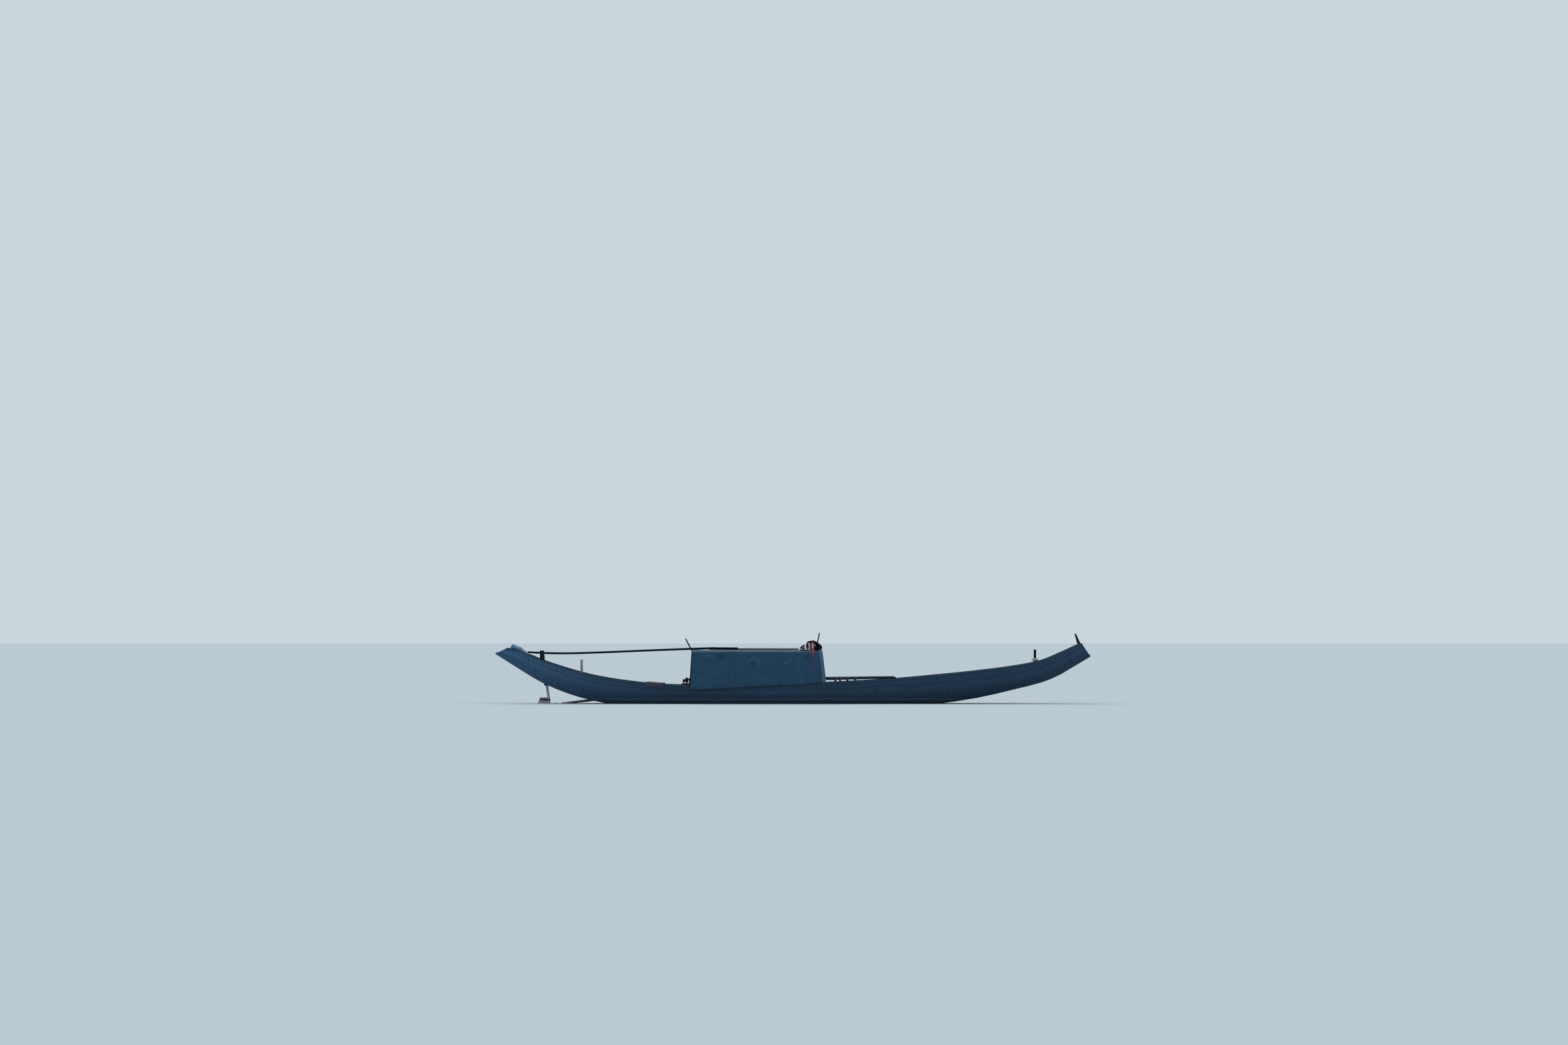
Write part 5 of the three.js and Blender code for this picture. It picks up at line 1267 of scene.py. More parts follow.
def tie_loop(y, radius, tails):
    """A cord tied round the roll: an oval loop just outside the cloth, a knot of three small turns on
    top, and two short ends that lie down the roll's aft side."""
    turn = np.linspace(0, 2 * np.pi, 90)
    t = np.linspace(0, 1, 50)
    x, z = roll_surface(turn + 2 * np.pi * ROLL_TURNS, np.full(90, y), radius + 0.003)
    z = np.maximum(z, roof_top(y) + radius)
    parts = [tube(grid(x, y + 0.006 * np.sin(turn), z), radius, 10, (0.0, 1.0, 0.0))]
    top = np.array([ROLL_X - 0.004, y, z.max() + radius * 0.4])
    knot = grid(0.009 * np.cos(4 * np.pi * t), 0.010 * np.sin(6 * np.pi * t), 0.006 * np.sin(4 * np.pi * t))
    parts.append(tube(top + knot, radius, 8, (0.3, 0.2, 1.0)))
    for k, length in enumerate(tails):
        s = np.linspace(0, length, 26)
        bend = 1.5 * np.pi - s / 0.095
        tail_x, tail_z = roll_surface(bend + 2 * np.pi * (ROLL_TURNS - 1), np.full(26, y), radius + 0.004)
        side = y + (0.012 + 0.22 * s) * (1 if k else -1) + 0.004 * np.sin(40 * s)
        tail = grid(top[0] + (tail_x - tail_x[0]), side, top[2] + (tail_z - tail_z[0]))
        parts.append(tube(tail, radius, 8, (0.0, 1.0, 0.1)))
    return joined(parts)


for name, y, radius, look, tails in (
        ("red_tie", ROLL_TIES[0], 0.0042, RED_CLOTH, (0.10, 0.16)),
        ("white_tie_middle", ROLL_TIES[1], 0.0034, WHITE_CLOTH, (0.14, 0.09)),
        ("white_tie_port", ROLL_TIES[2], 0.0034, WHITE_CLOTH, (0.11, 0.15))):
    cord(name, tie_loop(y, radius, tails), look, smooth=60)


def ribbon(x, start, foot, half, lift):
    """A narrow strip of cloth from the top of the roll's starboard end, over that end, across the
    roof's shoulder and down the cabin's side. Its line is a smooth curve through points just off
    those surfaces; across, it is a shallow trough that turns a little along its length."""
    route = [(x + 0.020, start, 1.104), (x + 0.008, -0.520, 1.122), (x, -0.560, 1.112),
             (x + 0.003, -0.574, 1.064), (x - 0.002, -0.588, 1.012), (x - 0.004, -0.628, 0.988),
             (x - 0.002, -0.690, 0.981), (x + 0.002, -0.742, 0.965), (x + 0.003, -0.762, 0.930)]
    low = np.linspace(0.900, foot, 5)
    hang = [(x + 0.003 + 0.05 * (0.90 - z), -(side_half(z) + 0.006), z) for z in low]
    route = [row for row in route if row[2] > foot or row[1] > -0.55] + [row for row in hang if foot < 0.9]
    path = smooth_path(route, 120) + lift * np.array([0.0, -1.0, 0.6])
    t = np.linspace(0, 1, 120)[:, None]
    across = np.linspace(-1, 1, 9)[None]
    over = unit(np.cross(unit(np.gradient(path, axis=0)), [1.0, 0.0, 0.0]))
    over *= -np.sign((over * [0, 1, -1]).sum(1, keepdims=True))
    trough = 0.0022 * (1 - across ** 2) * np.sin(9 * t + 60 * x) ** 2
    twist = 0.0016 * across * np.sin(14 * t + 35 * x)
    points = path[:, None] + over[:, None] * (trough + np.abs(twist) + twist)[..., None]
    points[..., 0] += across * half * (1 - 0.18 * np.sin(7 * t + 20 * x) ** 2)
    span = travelled(path)
    return points, grid(span[:, None], across * half), float(span[-1])


for name, x, start, foot, half, lift, look in (
        ("red_ribbon_fore", 0.366, -0.420, 0.890, 0.0210, 0.0, RED_CLOTH),
        ("white_ribbon_fore", 0.350, -0.440, 1.000, 0.0150, 0.0030, WHITE_CLOTH),
        ("red_ribbon_aft", 0.310, -0.470, 0.925, 0.0130, 0.0, RED_CLOTH),
        ("white_ribbon_aft", 0.286, -0.450, 0.985, 0.0120, 0.0030, WHITE_CLOTH)):
    points, uv, span = ribbon(x, start, foot, half, lift)
    made = sheet_piece(name, points, uv, "rope", 0.0012, look=look)

FOLD_TIE_Y = -0.512
fold_line = smooth_path([(a, FOLD_TIE_Y, b) for a, b in FLAP_ROUTE[2:11]], 60)
middle = np.array([0.190, FOLD_TIE_Y, 1.030])
away = fold_line - middle
fold_line = middle + [0.004, 0, 0] + away + unit(away) * 0.0075
fold_line[:, 1] -= 0.012 * np.linspace(-1, 1, 60) ** 2
fold_line[:, 2] = np.maximum(fold_line[:, 2], roof_top(FOLD_TIE_Y) + 0.006)
cord("white_tie_fold", tube(fold_line, 0.0048, 10, (0.0, 1.0, 0.0)), WHITE_CLOTH, smooth=60)

# Folded sheet on the stern deck

SHEET_OUTLINE = np.array([
    (-5.240, 0.032), (-5.222, 0.096), (-5.199, 0.140), (-5.162, 0.134), (-5.122, 0.117), (-5.060, 0.107),
    (-5.010, 0.084), (-4.962, 0.060), (-4.925, 0.034), (-4.896, 0.012)])
SHEET_HALF = 0.182
SHEET_FOLDS = 5


def folded_sheet():
    """One cloth folded back and forth: along it X swings as a cosine, and the height over the deck
    climbs evenly to the outline's. Creases are waves in X and Y that grow with the height."""
    s = np.linspace(0, SHEET_FOLDS, 330)[:, None]
    y = np.linspace(-1, 1, 72)[None]
    middle, half = -5.068, 0.170
    x = middle - half * np.cos(np.pi * s) * (1 - 0.03 * np.sin(2.2 * s)) + 0 * y
    x = x + 0.006 * np.sin(5 * y + 1.7 * s)
    rise = np.interp(x, SHEET_OUTLINE[:, 0], SHEET_OUTLINE[:, 1])
    climb = 0.06 + 0.94 * (s / SHEET_FOLDS) ** 1.15
    edge = 1 - 0.55 * np.abs(y) ** 5
    crease = 0.06 * np.sin(26 * x + 5 * y) * np.sin(4 * y + 1) + 0.05 * np.sin(41 * x - 9 * y + 2)
    height = rise * climb * edge * (0.97 + crease * climb)
    deck = sheer_line(x) - DECK_BELOW
    width = SHEET_HALF * (1 - 0.02 * np.sin(3.1 * s)) - 0.012 * (1 - climb)
    points = grid(x, y * width, deck + 0.003 + height)
    along = travelled(points[:, 36])
    return points, grid(along[:, None], points[..., 1]), float(along[-1])


def sheer_line(x):
    """The sheer's height anywhere along it, the raked end pieces included."""
    known = fair(SHEER, np.linspace(0, len(SHEER) - 1, 400))
    return np.interp(x, known[:, 0], known[:, 2])


points, uv, cut_length = folded_sheet()
stern_cloth = sheet_piece("stern_cloth", points, uv, "blue_sheet", 0.0012, replaces=["stern_sheet"])

# Engine

ENGINE_X, ENGINE_TOP = -1.950, float(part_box("engine_cylinder")[0][2])
CYLINDER_X = -1.888


def cylinder_profile():
    """Up the cylinder: nine thin fins on a barrel, then the head with its cover."""
    rows = [(0.0, 0.047), (0.006, 0.047), (0.007, 0.043)]
    for k in range(9):
        low = 0.009 + 0.0078 * k
        rows += [(low, 0.0435), (low + 0.0004, 0.0645), (low + 0.0026, 0.0655), (low + 0.0030, 0.0435)]
    return rows + [(0.080, 0.0435), (0.0805, 0.053), (0.093, 0.0535), (0.0955, 0.050), (0.096, 0.024),
                   (0.0985, 0.020), (0.0995, 0.004)]


foot, top = (CYLINDER_X, 0, ENGINE_TOP), (CYLINDER_X, 0, ENGINE_TOP + 0.1)
piece("cylinder_barrel", turned(cylinder_profile(), foot, top, 48), "engine_iron",
      replaces=["engine_cylinder"], smooth=35)

SILENCER = (-1.974, -0.064)
CLEANER_Z = 0.421


def silencer_shape():
    """Foot pipe, a drum with rolled end beads and two hoops, and the outlet with its rim."""
    low, high = (float(corner[2]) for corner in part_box("exhaust_silencer"))
    rows = [(0, 0.0148), (0.020, 0.0148), (0.022, 0.028), (0.024, 0.0318), (0.028, 0.0318), (0.030, 0.0302),
            (0.050, 0.0302), (0.0515, 0.0312), (0.0535, 0.0302), (0.072, 0.0302), (0.0735, 0.0312),
            (0.0755, 0.0302), (0.086, 0.0302), (0.088, 0.0318), (0.092, 0.0318), (0.0935, 0.028),
            (0.0945, 0.0165), (high - low - 0.003, 0.0165), (high - low, 0.0150)]
    return turned(rows, (*SILENCER, low), (*SILENCER, high), 32)


piece("silencer_drum", silencer_shape(), "engine_iron", replaces=["exhaust_silencer"], smooth=35)


def cleaner_shape():
    """A neck up from the crankcase, and a drum across it with a dished end and a pressed bead."""
    low = float(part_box("air_cleaner")[0][2])
    neck = turned([(0, 0.0148), (0.004, 0.0148), (0.005, 0.012), (CLEANER_Z - low - 0.02, 0.012)],
                  (-2.030, 0.040, low), (-2.030, 0.040, CLEANER_Z), 24)
    drum = turned([(0, 0.006), (0.001, 0.022), (0.004, 0.0265), (0.018, 0.0268), (0.020, 0.0250),
                   (0.0225, 0.0268), (0.050, 0.0268), (0.053, 0.0250), (0.0555, 0.0225), (0.058, 0.012),
                   (0.0597, 0.004)], (-2.052, 0.040, CLEANER_Z), (-1.992, 0.040, CLEANER_Z), 32)
    return joined([neck, drum])


piece("air_cleaner_drum", cleaner_shape(), "engine_iron", replaces=["air_cleaner"], smooth=35)

tank_low, tank_high = (np.array(corner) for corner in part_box("fuel_tank"))
TANK_HEIGHT = 0.118


def tank_shape():
    """The tank with its edges cut by narrow faces, its filler neck and a ribbed cap."""
    cut = 0.012
    layers = []
    for z, inset in ((0.0, cut), (cut, 0.0), (TANK_HEIGHT - cut, 0.0), (TANK_HEIGHT, cut)):
        x0, y0, x1, y1 = *(tank_low[:2] + inset), *(tank_high[:2] - inset)
        ring = [(x0 + cut, y0), (x1 - cut, y0), (x1, y0 + cut), (x1, y1 - cut),
                (x1 - cut, y1), (x0 + cut, y1), (x0, y1 - cut), (x0, y0 + cut)]
        layers.append([(x, y, tank_low[2] + z) for x, y in ring])
    x, y, z = (tank_low[0] + tank_high[0]) / 2, 0.040, tank_low[2] + TANK_HEIGHT - 0.002
    neck = turned([(0, 0.0155), (0.006, 0.0155)], (x, y, z), (x, y, z + 0.01), 24)
    turn = around(48)
    rise, share = np.array([(0.005, 0.96), (0.006, 1.0), (0.0145, 1.0), (0.0158, 0.9)]).T[..., None]
    rim = (0.0195 + 0.0008 * np.cos(16 * turn)) * share
    return joined([lofted(np.array(layers)), neck,
                   lofted(grid(x + rim * np.cos(turn), y + rim * np.sin(turn), z + rise))])


piece("tank_body", tank_shape(), "tank_paint", replaces=["fuel_tank"], smooth=35)


def strap_round(y, width, thick):
    """A flat steel strap up the tank's fore face and over its top, as one bent bar."""
    x0, x1 = tank_low[0] - 0.0002, tank_high[0] + thick
    z0, z1 = tank_low[2] + 0.004, tank_low[2] + TANK_HEIGHT + thick
    route = np.array([
        (x1, z0), (x1, z1 - 0.010), (x1 - 0.003, z1 - 0.003), (x1 - 0.010, z1), (x0 + 0.002, z1)])
    inner = route - np.array([(1, 0), (1, 0), (0.7, 0.7), (0, 1), (0, 1)]) * thick
    near, far = y - width / 2, y + width / 2
    return lofted(np.stack([np.insert(line, 1, side, 1) for line, side in
                            ((route, near), (route, far), (inner, far), (inner, near))], 1))


piece("tank_straps", joined([strap_round(y, 0.016, 0.0012) for y in (-0.055, 0.0)]), "shaft_steel",
      smooth=30)


def pipe(route, radius, sides=14, count=60, up=(0.0, 0.0, 1.0)):
    """A round pipe along a smooth curve through a few points."""
    return tube(smooth_path(route, count), radius, sides, up)


piece("exhaust_elbow", pipe(
    [(-1.925, -0.026, 0.440), (-1.945, -0.040, 0.446), (-1.962, -0.052, 0.444), (-1.974, -0.060, 0.434)],
    0.0095, up=(0.3, -0.3, 1.0)), "engine_iron")
piece("intake_pipe", pipe(
    [(-1.920, 0.026, 0.440), (-1.948, 0.036, 0.447), (-1.975, 0.040, 0.436), (-1.996, 0.040, 0.425)],
    0.0085, up=(0.3, 0.3, 1.0)), "engine_iron")
piece("fuel_pipe", pipe(
    [(-1.822, 0.060, 0.330), (-1.832, 0.078, 0.336), (-1.850, 0.098, 0.362), (-1.868, 0.096, 0.400),
     (-1.874, 0.074, 0.424), (-1.876, 0.052, 0.430)], 0.0035, 12), "shaft_steel")


def crankcase_trim():
    """Covers on both sides of the crankcase, their bolts, the foot bolts and the head nuts."""
    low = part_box("engine_crankcase")[0]
    parts = []
    face = 0.105
    x, z = ENGINE_X + 0.01, 0.5 * (ENGINE_TOP + low[2]) + 0.006
    for side in (1, -1):
        disc = [(0.0, 0.062), (0.006, 0.062), (0.008, 0.059), (0.009, 0.030), (0.012, 0.028), (0.0135, 0.004)]
        parts.append(turned(disc, (x, side * face, z), (x, side * (face + 0.02), z), 40))
        angle = around(6) + 0.3
        places = grid(x + 0.053 * np.cos(angle), side * (face + 0.007), z + 0.053 * np.sin(angle))
        parts.append(studs(places, (0, side, 0), 0.0055, 0.0045, 6))
        feet = np.array([(ENGINE_X + dx, side * 0.119, low[2] + 0.014) for dx in (-0.085, 0.085)])
        parts.append(studs(feet, (0, 0, 1), 0.0085, 0.0080, 6))
    angle = around(4) + np.pi / 4
    nuts = grid(CYLINDER_X + 0.042 * np.cos(angle), 0.042 * np.sin(angle), ENGINE_TOP + 0.0955)
    parts.append(studs(nuts, (0, 0, 1), 0.0055, 0.0048, 6))
    parts.append(turned([(0, 0.011), (0.006, 0.011), (0.007, 0.016), (0.013, 0.016), (0.0145, 0.010)],
                        (-1.845, 0.082, ENGINE_TOP - 0.001), (-1.845, 0.082, ENGINE_TOP + 0.02), 20))
    return joined(parts)


piece("engine_covers_and_bolts", crankcase_trim(), "engine_iron", smooth=35)

# Shaft line

SHAFT_SLOPE = 0.122


def on_shaft(x):
    """The point at a place along X of the shaft's straight line, which falls evenly aft."""
    return (x, 0.0, 0.060 + (x + 3.754) * SHAFT_SLOPE)


PROPELLER_X, PROPELLER_RADIUS, PROPELLER_ROOT = -4.395, 0.115, 0.018
SHAFT_TOP = -2.068
FLYWHEEL_X = -2.122
COUPLING = (-2.190, -2.240)
stretch = math.hypot(1, SHAFT_SLOPE)


def shaft_shape():
    """The bar with its collar behind the flywheel, the bolted coupling and an eased tail."""
    end = PROPELLER_X - 0.056
    r = 0.0122
    rows = np.array([
        (SHAFT_TOP, r), (-2.138, r), (-2.1392, 0.0232), (-2.160, 0.0236), (-2.1615, r), (COUPLING[0], r),
        (COUPLING[0] - 0.001, 0.033), (-2.2000, 0.0348), (-2.2135, 0.0348), (-2.2145, 0.0330),
        (-2.2160, 0.0330), (-2.2170, 0.0348), (-2.2300, 0.0348), (COUPLING[1] + 0.001, 0.0330),
        (COUPLING[1], r), (-2.7, r), (-3.3, r), (-3.9, r), (end + 0.006, r), (end, 0.008)])
    rows[:, 0] = (SHAFT_TOP - rows[:, 0]) * stretch
    bar = turned(rows, on_shaft(SHAFT_TOP), on_shaft(end), 36)
    down = np.array([-1.0, 0, -SHAFT_SLOPE]) / stretch
    side = np.array([0.0, 1.0, 0.0])
    bolts = 0.024 * circle(side, np.cross(side, down), around(4))
    heads = [studs(np.array(on_shaft(x)) + bolts, down * way, 0.0050, 0.0045, 6)
             for x, way in ((COUPLING[0], -1.0), (COUPLING[1], 1.0))]
    nut = turned([(0, 0.0165), (0.013, 0.0165), (0.0145, 0.013)], on_shaft(PROPELLER_X - 0.036),
                 on_shaft(PROPELLER_X - 0.051), 6)
    return joined([bar, *heads, nut])


piece("shaft_bar", shaft_shape(), "shaft_steel", body="propeller_line", replaces=["propeller_shaft"],
      smooth=35)
rows = [(0.0, 0.0130), (0.0, 0.026), (0.006, 0.028), (0.007, 0.064), (0.001, 0.070), (0.0008, 0.0815),
        (0.003, 0.0833), (0.029, 0.0833), (0.0312, 0.0815), (0.031, 0.070), (0.025, 0.064), (0.026, 0.028),
        (0.032, 0.026), (0.032, 0.0130), (0.0, 0.0130)]
piece("flywheel_disc", turned(rows, on_shaft(FLYWHEEL_X + 0.016), on_shaft(FLYWHEEL_X - 0.016), 64),
      "engine_iron", body="propeller_line", replaces=["flywheel"], smooth=35)


def propeller_blade(side):
    """A blade out along Y: thin oval sections whose half chord, thickness and pitch follow the part's
    rows, with a rounded tip where the chord closes as a circle does."""
    t = np.linspace(0, 1, 34)
    radius = PROPELLER_ROOT + (PROPELLER_RADIUS - PROPELLER_ROOT) * t
    chord = np.interp(radius, [0.018, 0.034, 0.052, 0.070, 0.088, 0.102, 0.109, 0.113, 0.115],
                      [0.020, 0.029, 0.0385, 0.0435, 0.0435, 0.036, 0.026, 0.015, 0.003])
    thick = np.interp(radius, [0.018, 0.052, 0.086, 0.115], [0.0062, 0.0040, 0.0028, 0.0012])
    pitch = np.radians(np.interp(radius, [0.018, 0.052, 0.086, 0.115], [52, 40, 28, 22]))
    turn = around(28)
    u = chord[:, None] * np.cos(turn) - 0.10 * chord[:, None] * (radius[:, None] / PROPELLER_RADIUS) ** 2
    w = thick[:, None] * np.sign(np.sin(turn)) * np.abs(np.sin(turn)) ** 1.2
    c, s = np.cos(pitch)[:, None], np.sin(pitch)[:, None]
    return lofted(grid(side * (u * s + w * c), side * radius[:, None], u * c - w * s))


def propeller_shape():
    """Two blades and a hub with eased ends and a bore, tilted into the shaft's line."""
    hub = turned([(0.0, 0.0128), (0.0, 0.019), (0.004, 0.0238), (0.012, 0.0258), (0.058, 0.0258),
                  (0.066, 0.0238), (0.070, 0.019), (0.070, 0.0128), (0.0, 0.0128)],
                 (0.035, 0, 0), (-0.035, 0, 0), 40)
    points, *rest = joined([hub, *[propeller_blade(side) for side in (1, -1)]])
    c, s = 1 / stretch, SHAFT_SLOPE / stretch
    tilt = np.array([[c, 0, -s], [0, 1, 0], [s, 0, c]])
    return points @ tilt.T + on_shaft(PROPELLER_X), *rest


piece("propeller_cast", propeller_shape(), "bronze", body="propeller_line", replaces=["propeller"],
      smooth=45)
TUBE_FORE, TUBE_AFT = -2.420, -4.290
length = (TUBE_FORE - TUBE_AFT) * stretch
rows = [(0.0, 0.0133), (0.0, 0.040), (0.002, 0.042), (0.027, 0.042), (0.030, 0.040), (0.031, 0.0245),
        (0.060, 0.0235), (0.6, 0.0230), (1.2, 0.0230), (length - 0.004, 0.0230), (length, 0.0205),
        (length, 0.0133), (0.0, 0.0133)]
piece("stern_tube_barrel", turned(rows, on_shaft(TUBE_FORE), on_shaft(TUBE_AFT), 40), "shaft_steel",
      replaces=["stern_tube"], smooth=35)
angle = around(4) + np.pi / 4
bolts = on_shaft(TUBE_FORE) + grid(0.0003, 0.033 * np.cos(angle), 0.033 * np.sin(angle))
piece("stern_tube_bolts", studs(bolts, (1.0, 0, SHAFT_SLOPE), 0.0055, 0.006, 6), "engine_iron", smooth=35)

# Rudder

STOCK_TOP = np.array([-4.646, 0.0, 0.905])
STOCK_FOOT = np.array([-4.475, 0.0, -0.300])
STOCK_RADIUS, TRUNK_RADIUS = 0.0248, 0.0458
stock_way = unit(STOCK_TOP - STOCK_FOOT)
stock_fore = np.cross(np.array([0.0, 1.0, 0.0]), stock_way)
TRUNK_TOP = float(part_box("rudder_trunk")[1][2])


def on_stock(z):
    """The point of the rudder stock's straight line at a height."""
    t = (z - STOCK_FOOT[2]) / (STOCK_TOP[2] - STOCK_FOOT[2])
    return STOCK_FOOT + (STOCK_TOP - STOCK_FOOT) * t


def stock_shape():
    """A round stock, the collar that it hangs on, and a squared head with cut corners."""
    length = float(np.linalg.norm(STOCK_TOP - STOCK_FOOT))
    rows = [(0, 0.021), *[(along, STOCK_RADIUS) for along in
                          (0.004, length * 0.35, length * 0.5, length * 0.8, length - 0.03)]]
    bar = turned(rows, STOCK_FOOT, STOCK_TOP, 32)
    collar_foot = on_stock(TRUNK_TOP - 0.0045)
    collar = turned([(0, 0.0405), (0.002, 0.042), (0.022, 0.042), (0.025, 0.0395), (0.0255, 0.024)],
                    collar_foot, collar_foot + stock_way * 0.03, 40)
    layers = []
    cut = 0.006
    for down, x_half, y_half in ((0.078, 0.030, 0.026), (0.072, 0.0355, 0.0305), (0.006, 0.0355, 0.0305),
                                 (0.0, 0.0315, 0.0265)):
        x_cut, y_cut = x_half - cut, y_half - cut
        ring = [(x_cut, -y_half), (x_half, -y_cut), (x_half, y_cut), (x_cut, y_half),
                (-x_cut, y_half), (-x_half, y_cut), (-x_half, -y_cut), (-x_cut, -y_half)]
        layers.append([STOCK_TOP - stock_way * down + stock_fore * a + np.array([0, b, 0]) for a, b in ring])
    return joined([bar, collar, lofted(np.array(layers))])


stock = stock_shape()
height = stock[0][:, 2]
# Below the hull the stock is worn weathered wood, made paler still by a painted highlight that stands for
# sunlight on it; the head is darker.
piece("rudder_stock_shaped", stock, "dark_wood", body="rudder", replaces=["rudder_stock"], smooth=35,
      look=GREY_STOCK, marks={"wear": np.interp(height, [-0.3, 0.3, 0.5], [0.75, 0.55, 0.0]),
                              "tone": np.interp(height, [0.3, 0.5], [0.0, -0.90])})
trunk_foot, trunk_top = (on_stock(z) for z in (0.334, TRUNK_TOP - 0.006))
length = float(np.linalg.norm(trunk_top - trunk_foot))
rows = [(0.0, 0.0262), (0.0, 0.044), (0.003, TRUNK_RADIUS), (length * 0.5, TRUNK_RADIUS),
        (length - 0.014, TRUNK_RADIUS),
        (length - 0.013, 0.0448), (length - 0.003, 0.0448), (length, 0.0425), (length, 0.0262),
        (0.0, 0.0262)]
piece("rudder_trunk_barrel", turned(rows, trunk_foot, trunk_top, 40), "dark_wood",
      replaces=["rudder_trunk"], smooth=35)


def blade_straps():
    """Iron straps across the blade: each a flat bar on both faces that passes round the stock."""
    parts, heads = [], []
    for z in (0.070, -0.110, -0.255):
        centre = on_stock(z)
        aft = -4.728 if z < 0 else -4.690
        wrap = np.linspace(-np.pi / 2, np.pi / 2, 14)
        lines = []
        for grow in (0.0004, 0.0034):
            bend = grid(centre[0] + (0.0256 + grow) * np.cos(wrap), (0.0256 + grow) * np.sin(wrap))
            near = np.array([(aft, -0.0122 - grow), (centre[0] - 0.036, -0.0122 - grow)])
            lines.append(np.concatenate([near, bend, near[::-1] * [1, -1]]).T)
        corners = ((0, -0.017), (1, -0.017), (1, 0.017), (0, 0.017))
        parts.append(lofted(np.stack([
            grid(lines[k][0] + rise * (stock_way[0] / stock_way[2]), lines[k][1], z + rise)
            for k, rise in corners], 1)))
        for x in np.linspace(aft + 0.02, centre[0] - 0.060, 4):
            heads += [(x, side * 0.0158, z) for side in (1, -1)]
    heads = np.array(heads)
    return joined([*parts, studs(heads, np.sign(heads) * [0, 1, 0], 0.0055, 0.0032)])


piece("rudder_straps", blade_straps(), "engine_iron", body="rudder", smooth=35)

# Deck nails

BOARD_PITCH = 0.270
RUDDER_HOLE_X = -4.65
places = []
for x in (2.93, 3.64, POST_X, 5.04, -3.45, ROWING_POST_X, RUDDER_HOLE_X, -5.13):
    inside = float(sheer_half(x)[0]) - 0.075
    for board in range(-2, 3):
        for off in (-0.085, 0.0, 0.085):
            y = board * BOARD_PITCH + off
            if abs(y) < inside and not (x in (POST_X, RUDDER_HOLE_X) and abs(y) < 0.12):
                places.append((x, y, float(sheer_line(x)) - DECK_BELOW - 0.0006))
nails("deck_nails", places, (0, 0, 1))

# Boards and timbers with eased, worn edges

SHARP_EDGE = math.radians(28)
FLAT_EDGE = math.radians(0.6)
FLOORBOARD_PITCH = 0.152


def eased(node_name, width, pitch=0.0, look=None):
    """The node's own shape with its sharp edges cut by narrow faces. Those faces are marked as worn,
    and every board of a deck gets its own tone, by its number across the boat."""
    shape = bmesh.new()
    shape.from_mesh(frame["nodes"][node_name].data)
    bmesh.ops.remove_doubles(shape, verts=shape.verts, dist=2e-5)
    bmesh.ops.dissolve_limit(shape, angle_limit=FLAT_EDGE, verts=shape.verts, edges=shape.edges)
    sharp = [edge for edge in shape.edges if len(edge.link_faces) == 2
             and edge.calc_face_angle(0.0) > SHARP_EDGE and edge.calc_length() > 2.2 * width]
    cut = bmesh.ops.bevel(shape, geom=sharp, offset=width, offset_type="OFFSET", segments=1, profile=0.5,
                          affect="EDGES", clamp_overlap=True)
    wear = shape.loops.layers.float.new("wear")
    tone = shape.loops.layers.float.new("tone")
    for face in cut["faces"]:
        for loop in face.loops:
            loop[wear] = 0.6
    if pitch:
        for face in shape.faces:
            board = math.floor(face.calc_center_median().y / pitch + 0.5)
            value = 0.16 * math.sin(12.9898 * (board + 7) + 3.1)
            for loop in face.loops:
                loop[tone] = value
    mesh = bpy.data.meshes.new(f"{node_name}_eased")
    shape.to_mesh(mesh)
    shape.free()
    mesh.polygons.foreach_set("use_smooth", np.zeros(len(mesh.polygons), bool))
    added(mesh.name, mesh, SLOTS[node_name], "rudder" if node_name == "rudder_blade" else "hull",
          [node_name], look)


for node_name, *settings in (
        ("fore_deck", 0.0025, BOARD_PITCH), ("aft_deck", 0.0025, BOARD_PITCH),
        ("floorboards_aft", 0.002, FLOORBOARD_PITCH), ("floorboards_cabin", 0.002, FLOORBOARD_PITCH),
        ("floorboards_fore", 0.002, FLOORBOARD_PITCH), ("fore_thwart", 0.003),
        ("helm_thwart", 0.003), ("stern_transom", 0.003), ("bow_transom", 0.003), ("bow_horn", 0.004),
        ("oar_crutch", 0.004), ("cabin_frame", 0.002), ("engine_beds", 0.003), ("shaft_log", 0.003),
        ("rudder_blade", 0.003, 0.0, GREY_BLADE), ("ribs_and_keelson", 0.0025), ("engine_crankcase", 0.003)):
    eased(node_name, *settings)

# The floor lies at the waterline, with a hole where the hull is

FLOOR_REACH = 900.0


def waterline():
    """Where the outer planking crosses the water, as half widths along the hull: on each section the
    crossing is found between two neighbouring points by their heights."""
    u = np.linspace(1, len(SHEER) - 2, 700)
    low = through(hull_knots(u)[0][:, 1:4], np.broadcast_to(np.linspace(0, 1, 60), (len(u), 60)))
    low = low[low[:, -1, 2] < 0]
    k = np.argmax(low[..., 2] < 0, axis=1)
    rows = np.arange(len(low))
    a, b = low[rows, k - 1], low[rows, k]
    t = a[:, 2:] / (a[:, 2:] - b[:, 2:])
    return (a + (b - a) * t)[:, :2] - [0, 0.010]


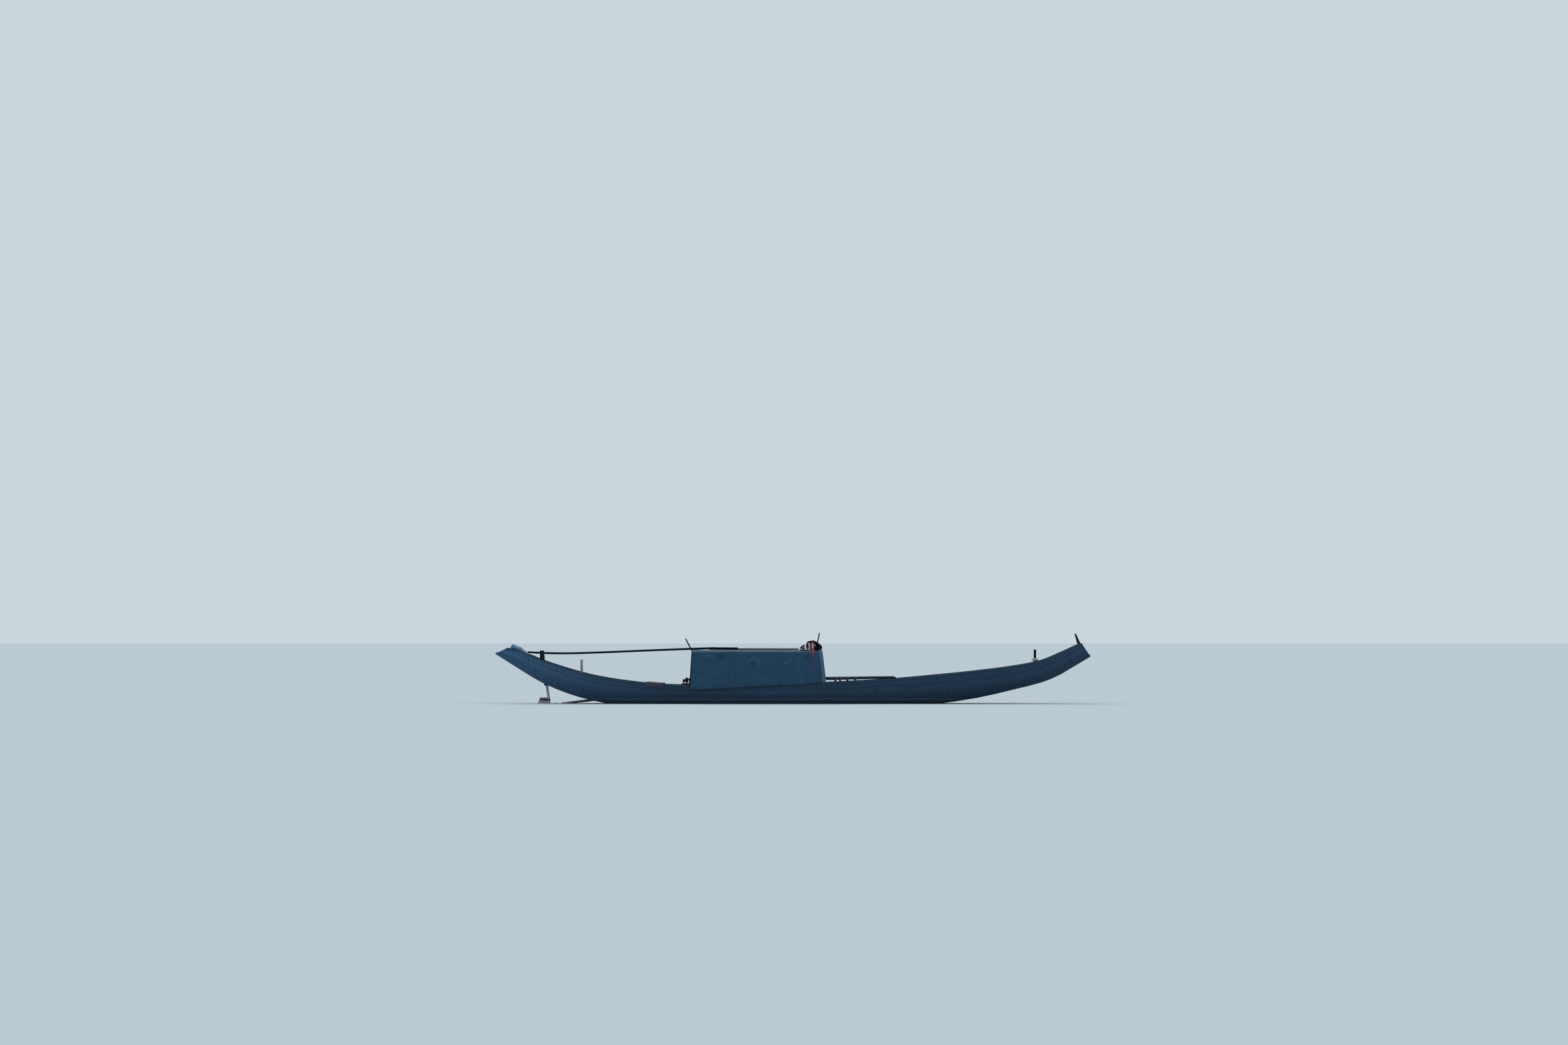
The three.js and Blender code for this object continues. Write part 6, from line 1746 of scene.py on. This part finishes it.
def pale_floor():
    """A wide disc with a hole: each point of the waterline is joined to a point on the rim that
    lies in the same direction."""
    half = waterline()
    hole = np.concatenate([half, half[::-1] * [1, -1]])
    away = unit(hole)
    rings = np.stack([hole, *[hole + away * reach for reach in (1.6, 4.0, 20.0)], away * FLOOR_REACH])
    points = np.concatenate([rings, 0 * rings[..., :1]], -1).reshape(-1, 3)
    faces = strip(*rings.shape[:2], ring=True)
    mesh = bpy.data.meshes.new("pale_floor")
    mesh.from_pydata(points.tolist(), [], faces[:, ::-1].tolist())
    if mesh.polygons[0].normal.z < 0:
        mesh.flip_normals()
    made = bpy.data.objects.new("pale_floor", mesh)
    bpy.context.scene.collection.objects.link(made)
    material, _, shader = shader_of("pale_floor", roughness=0.9, specular_ior_level=0.0)
    shader.inputs["Base Color"].default_value = (0.60, 0.66, 0.70, 1.0)
    mesh.materials.append(material)


pale_floor()

# Camera and light

FOCAL_PIXELS = 6533.0
IMAGE_WIDTH = 2352
camera_data = bpy.data.cameras.new("photo_camera")
camera_data.sensor_width = 36.0
camera_data.lens = FOCAL_PIXELS * 36.0 / IMAGE_WIDTH
camera_data.clip_start, camera_data.clip_end = 1.0, 3000.0
camera = bpy.data.objects.new("photo_camera", camera_data)
camera.location = (-0.173, -80.7, 1.21)
camera.rotation_euler = (math.radians(90 + 1.52), 0.0, 0.0)
bpy.context.scene.collection.objects.link(camera)
bpy.context.scene.camera = camera

world = bpy.data.worlds.new("soft_studio")
world.use_nodes = True
world.node_tree.nodes["Background"].inputs["Color"].default_value = (0.70, 0.78, 0.84, 1.0)
world.node_tree.nodes["Background"].inputs["Strength"].default_value = 0.85
bpy.context.scene.world = world


def soft_sun(name, energy, elevation, azimuth, size, colour):
    """A wide sun lamp that shines from an elevation and a compass angle, 0 being straight behind
    the boat as the photograph's camera sees it."""
    lamp = bpy.data.lights.new(name, "SUN")
    lamp.energy, lamp.angle, lamp.color = energy, math.radians(size), colour
    made = bpy.data.objects.new(name, lamp)
    made.rotation_euler = (math.radians(elevation - 90), 0, math.radians(azimuth))
    bpy.context.scene.collection.objects.link(made)


soft_sun("back_light", 1.1, 42, 20, 40, (1.0, 0.96, 0.9))
bpy.context.scene.view_settings.view_transform = "Standard"
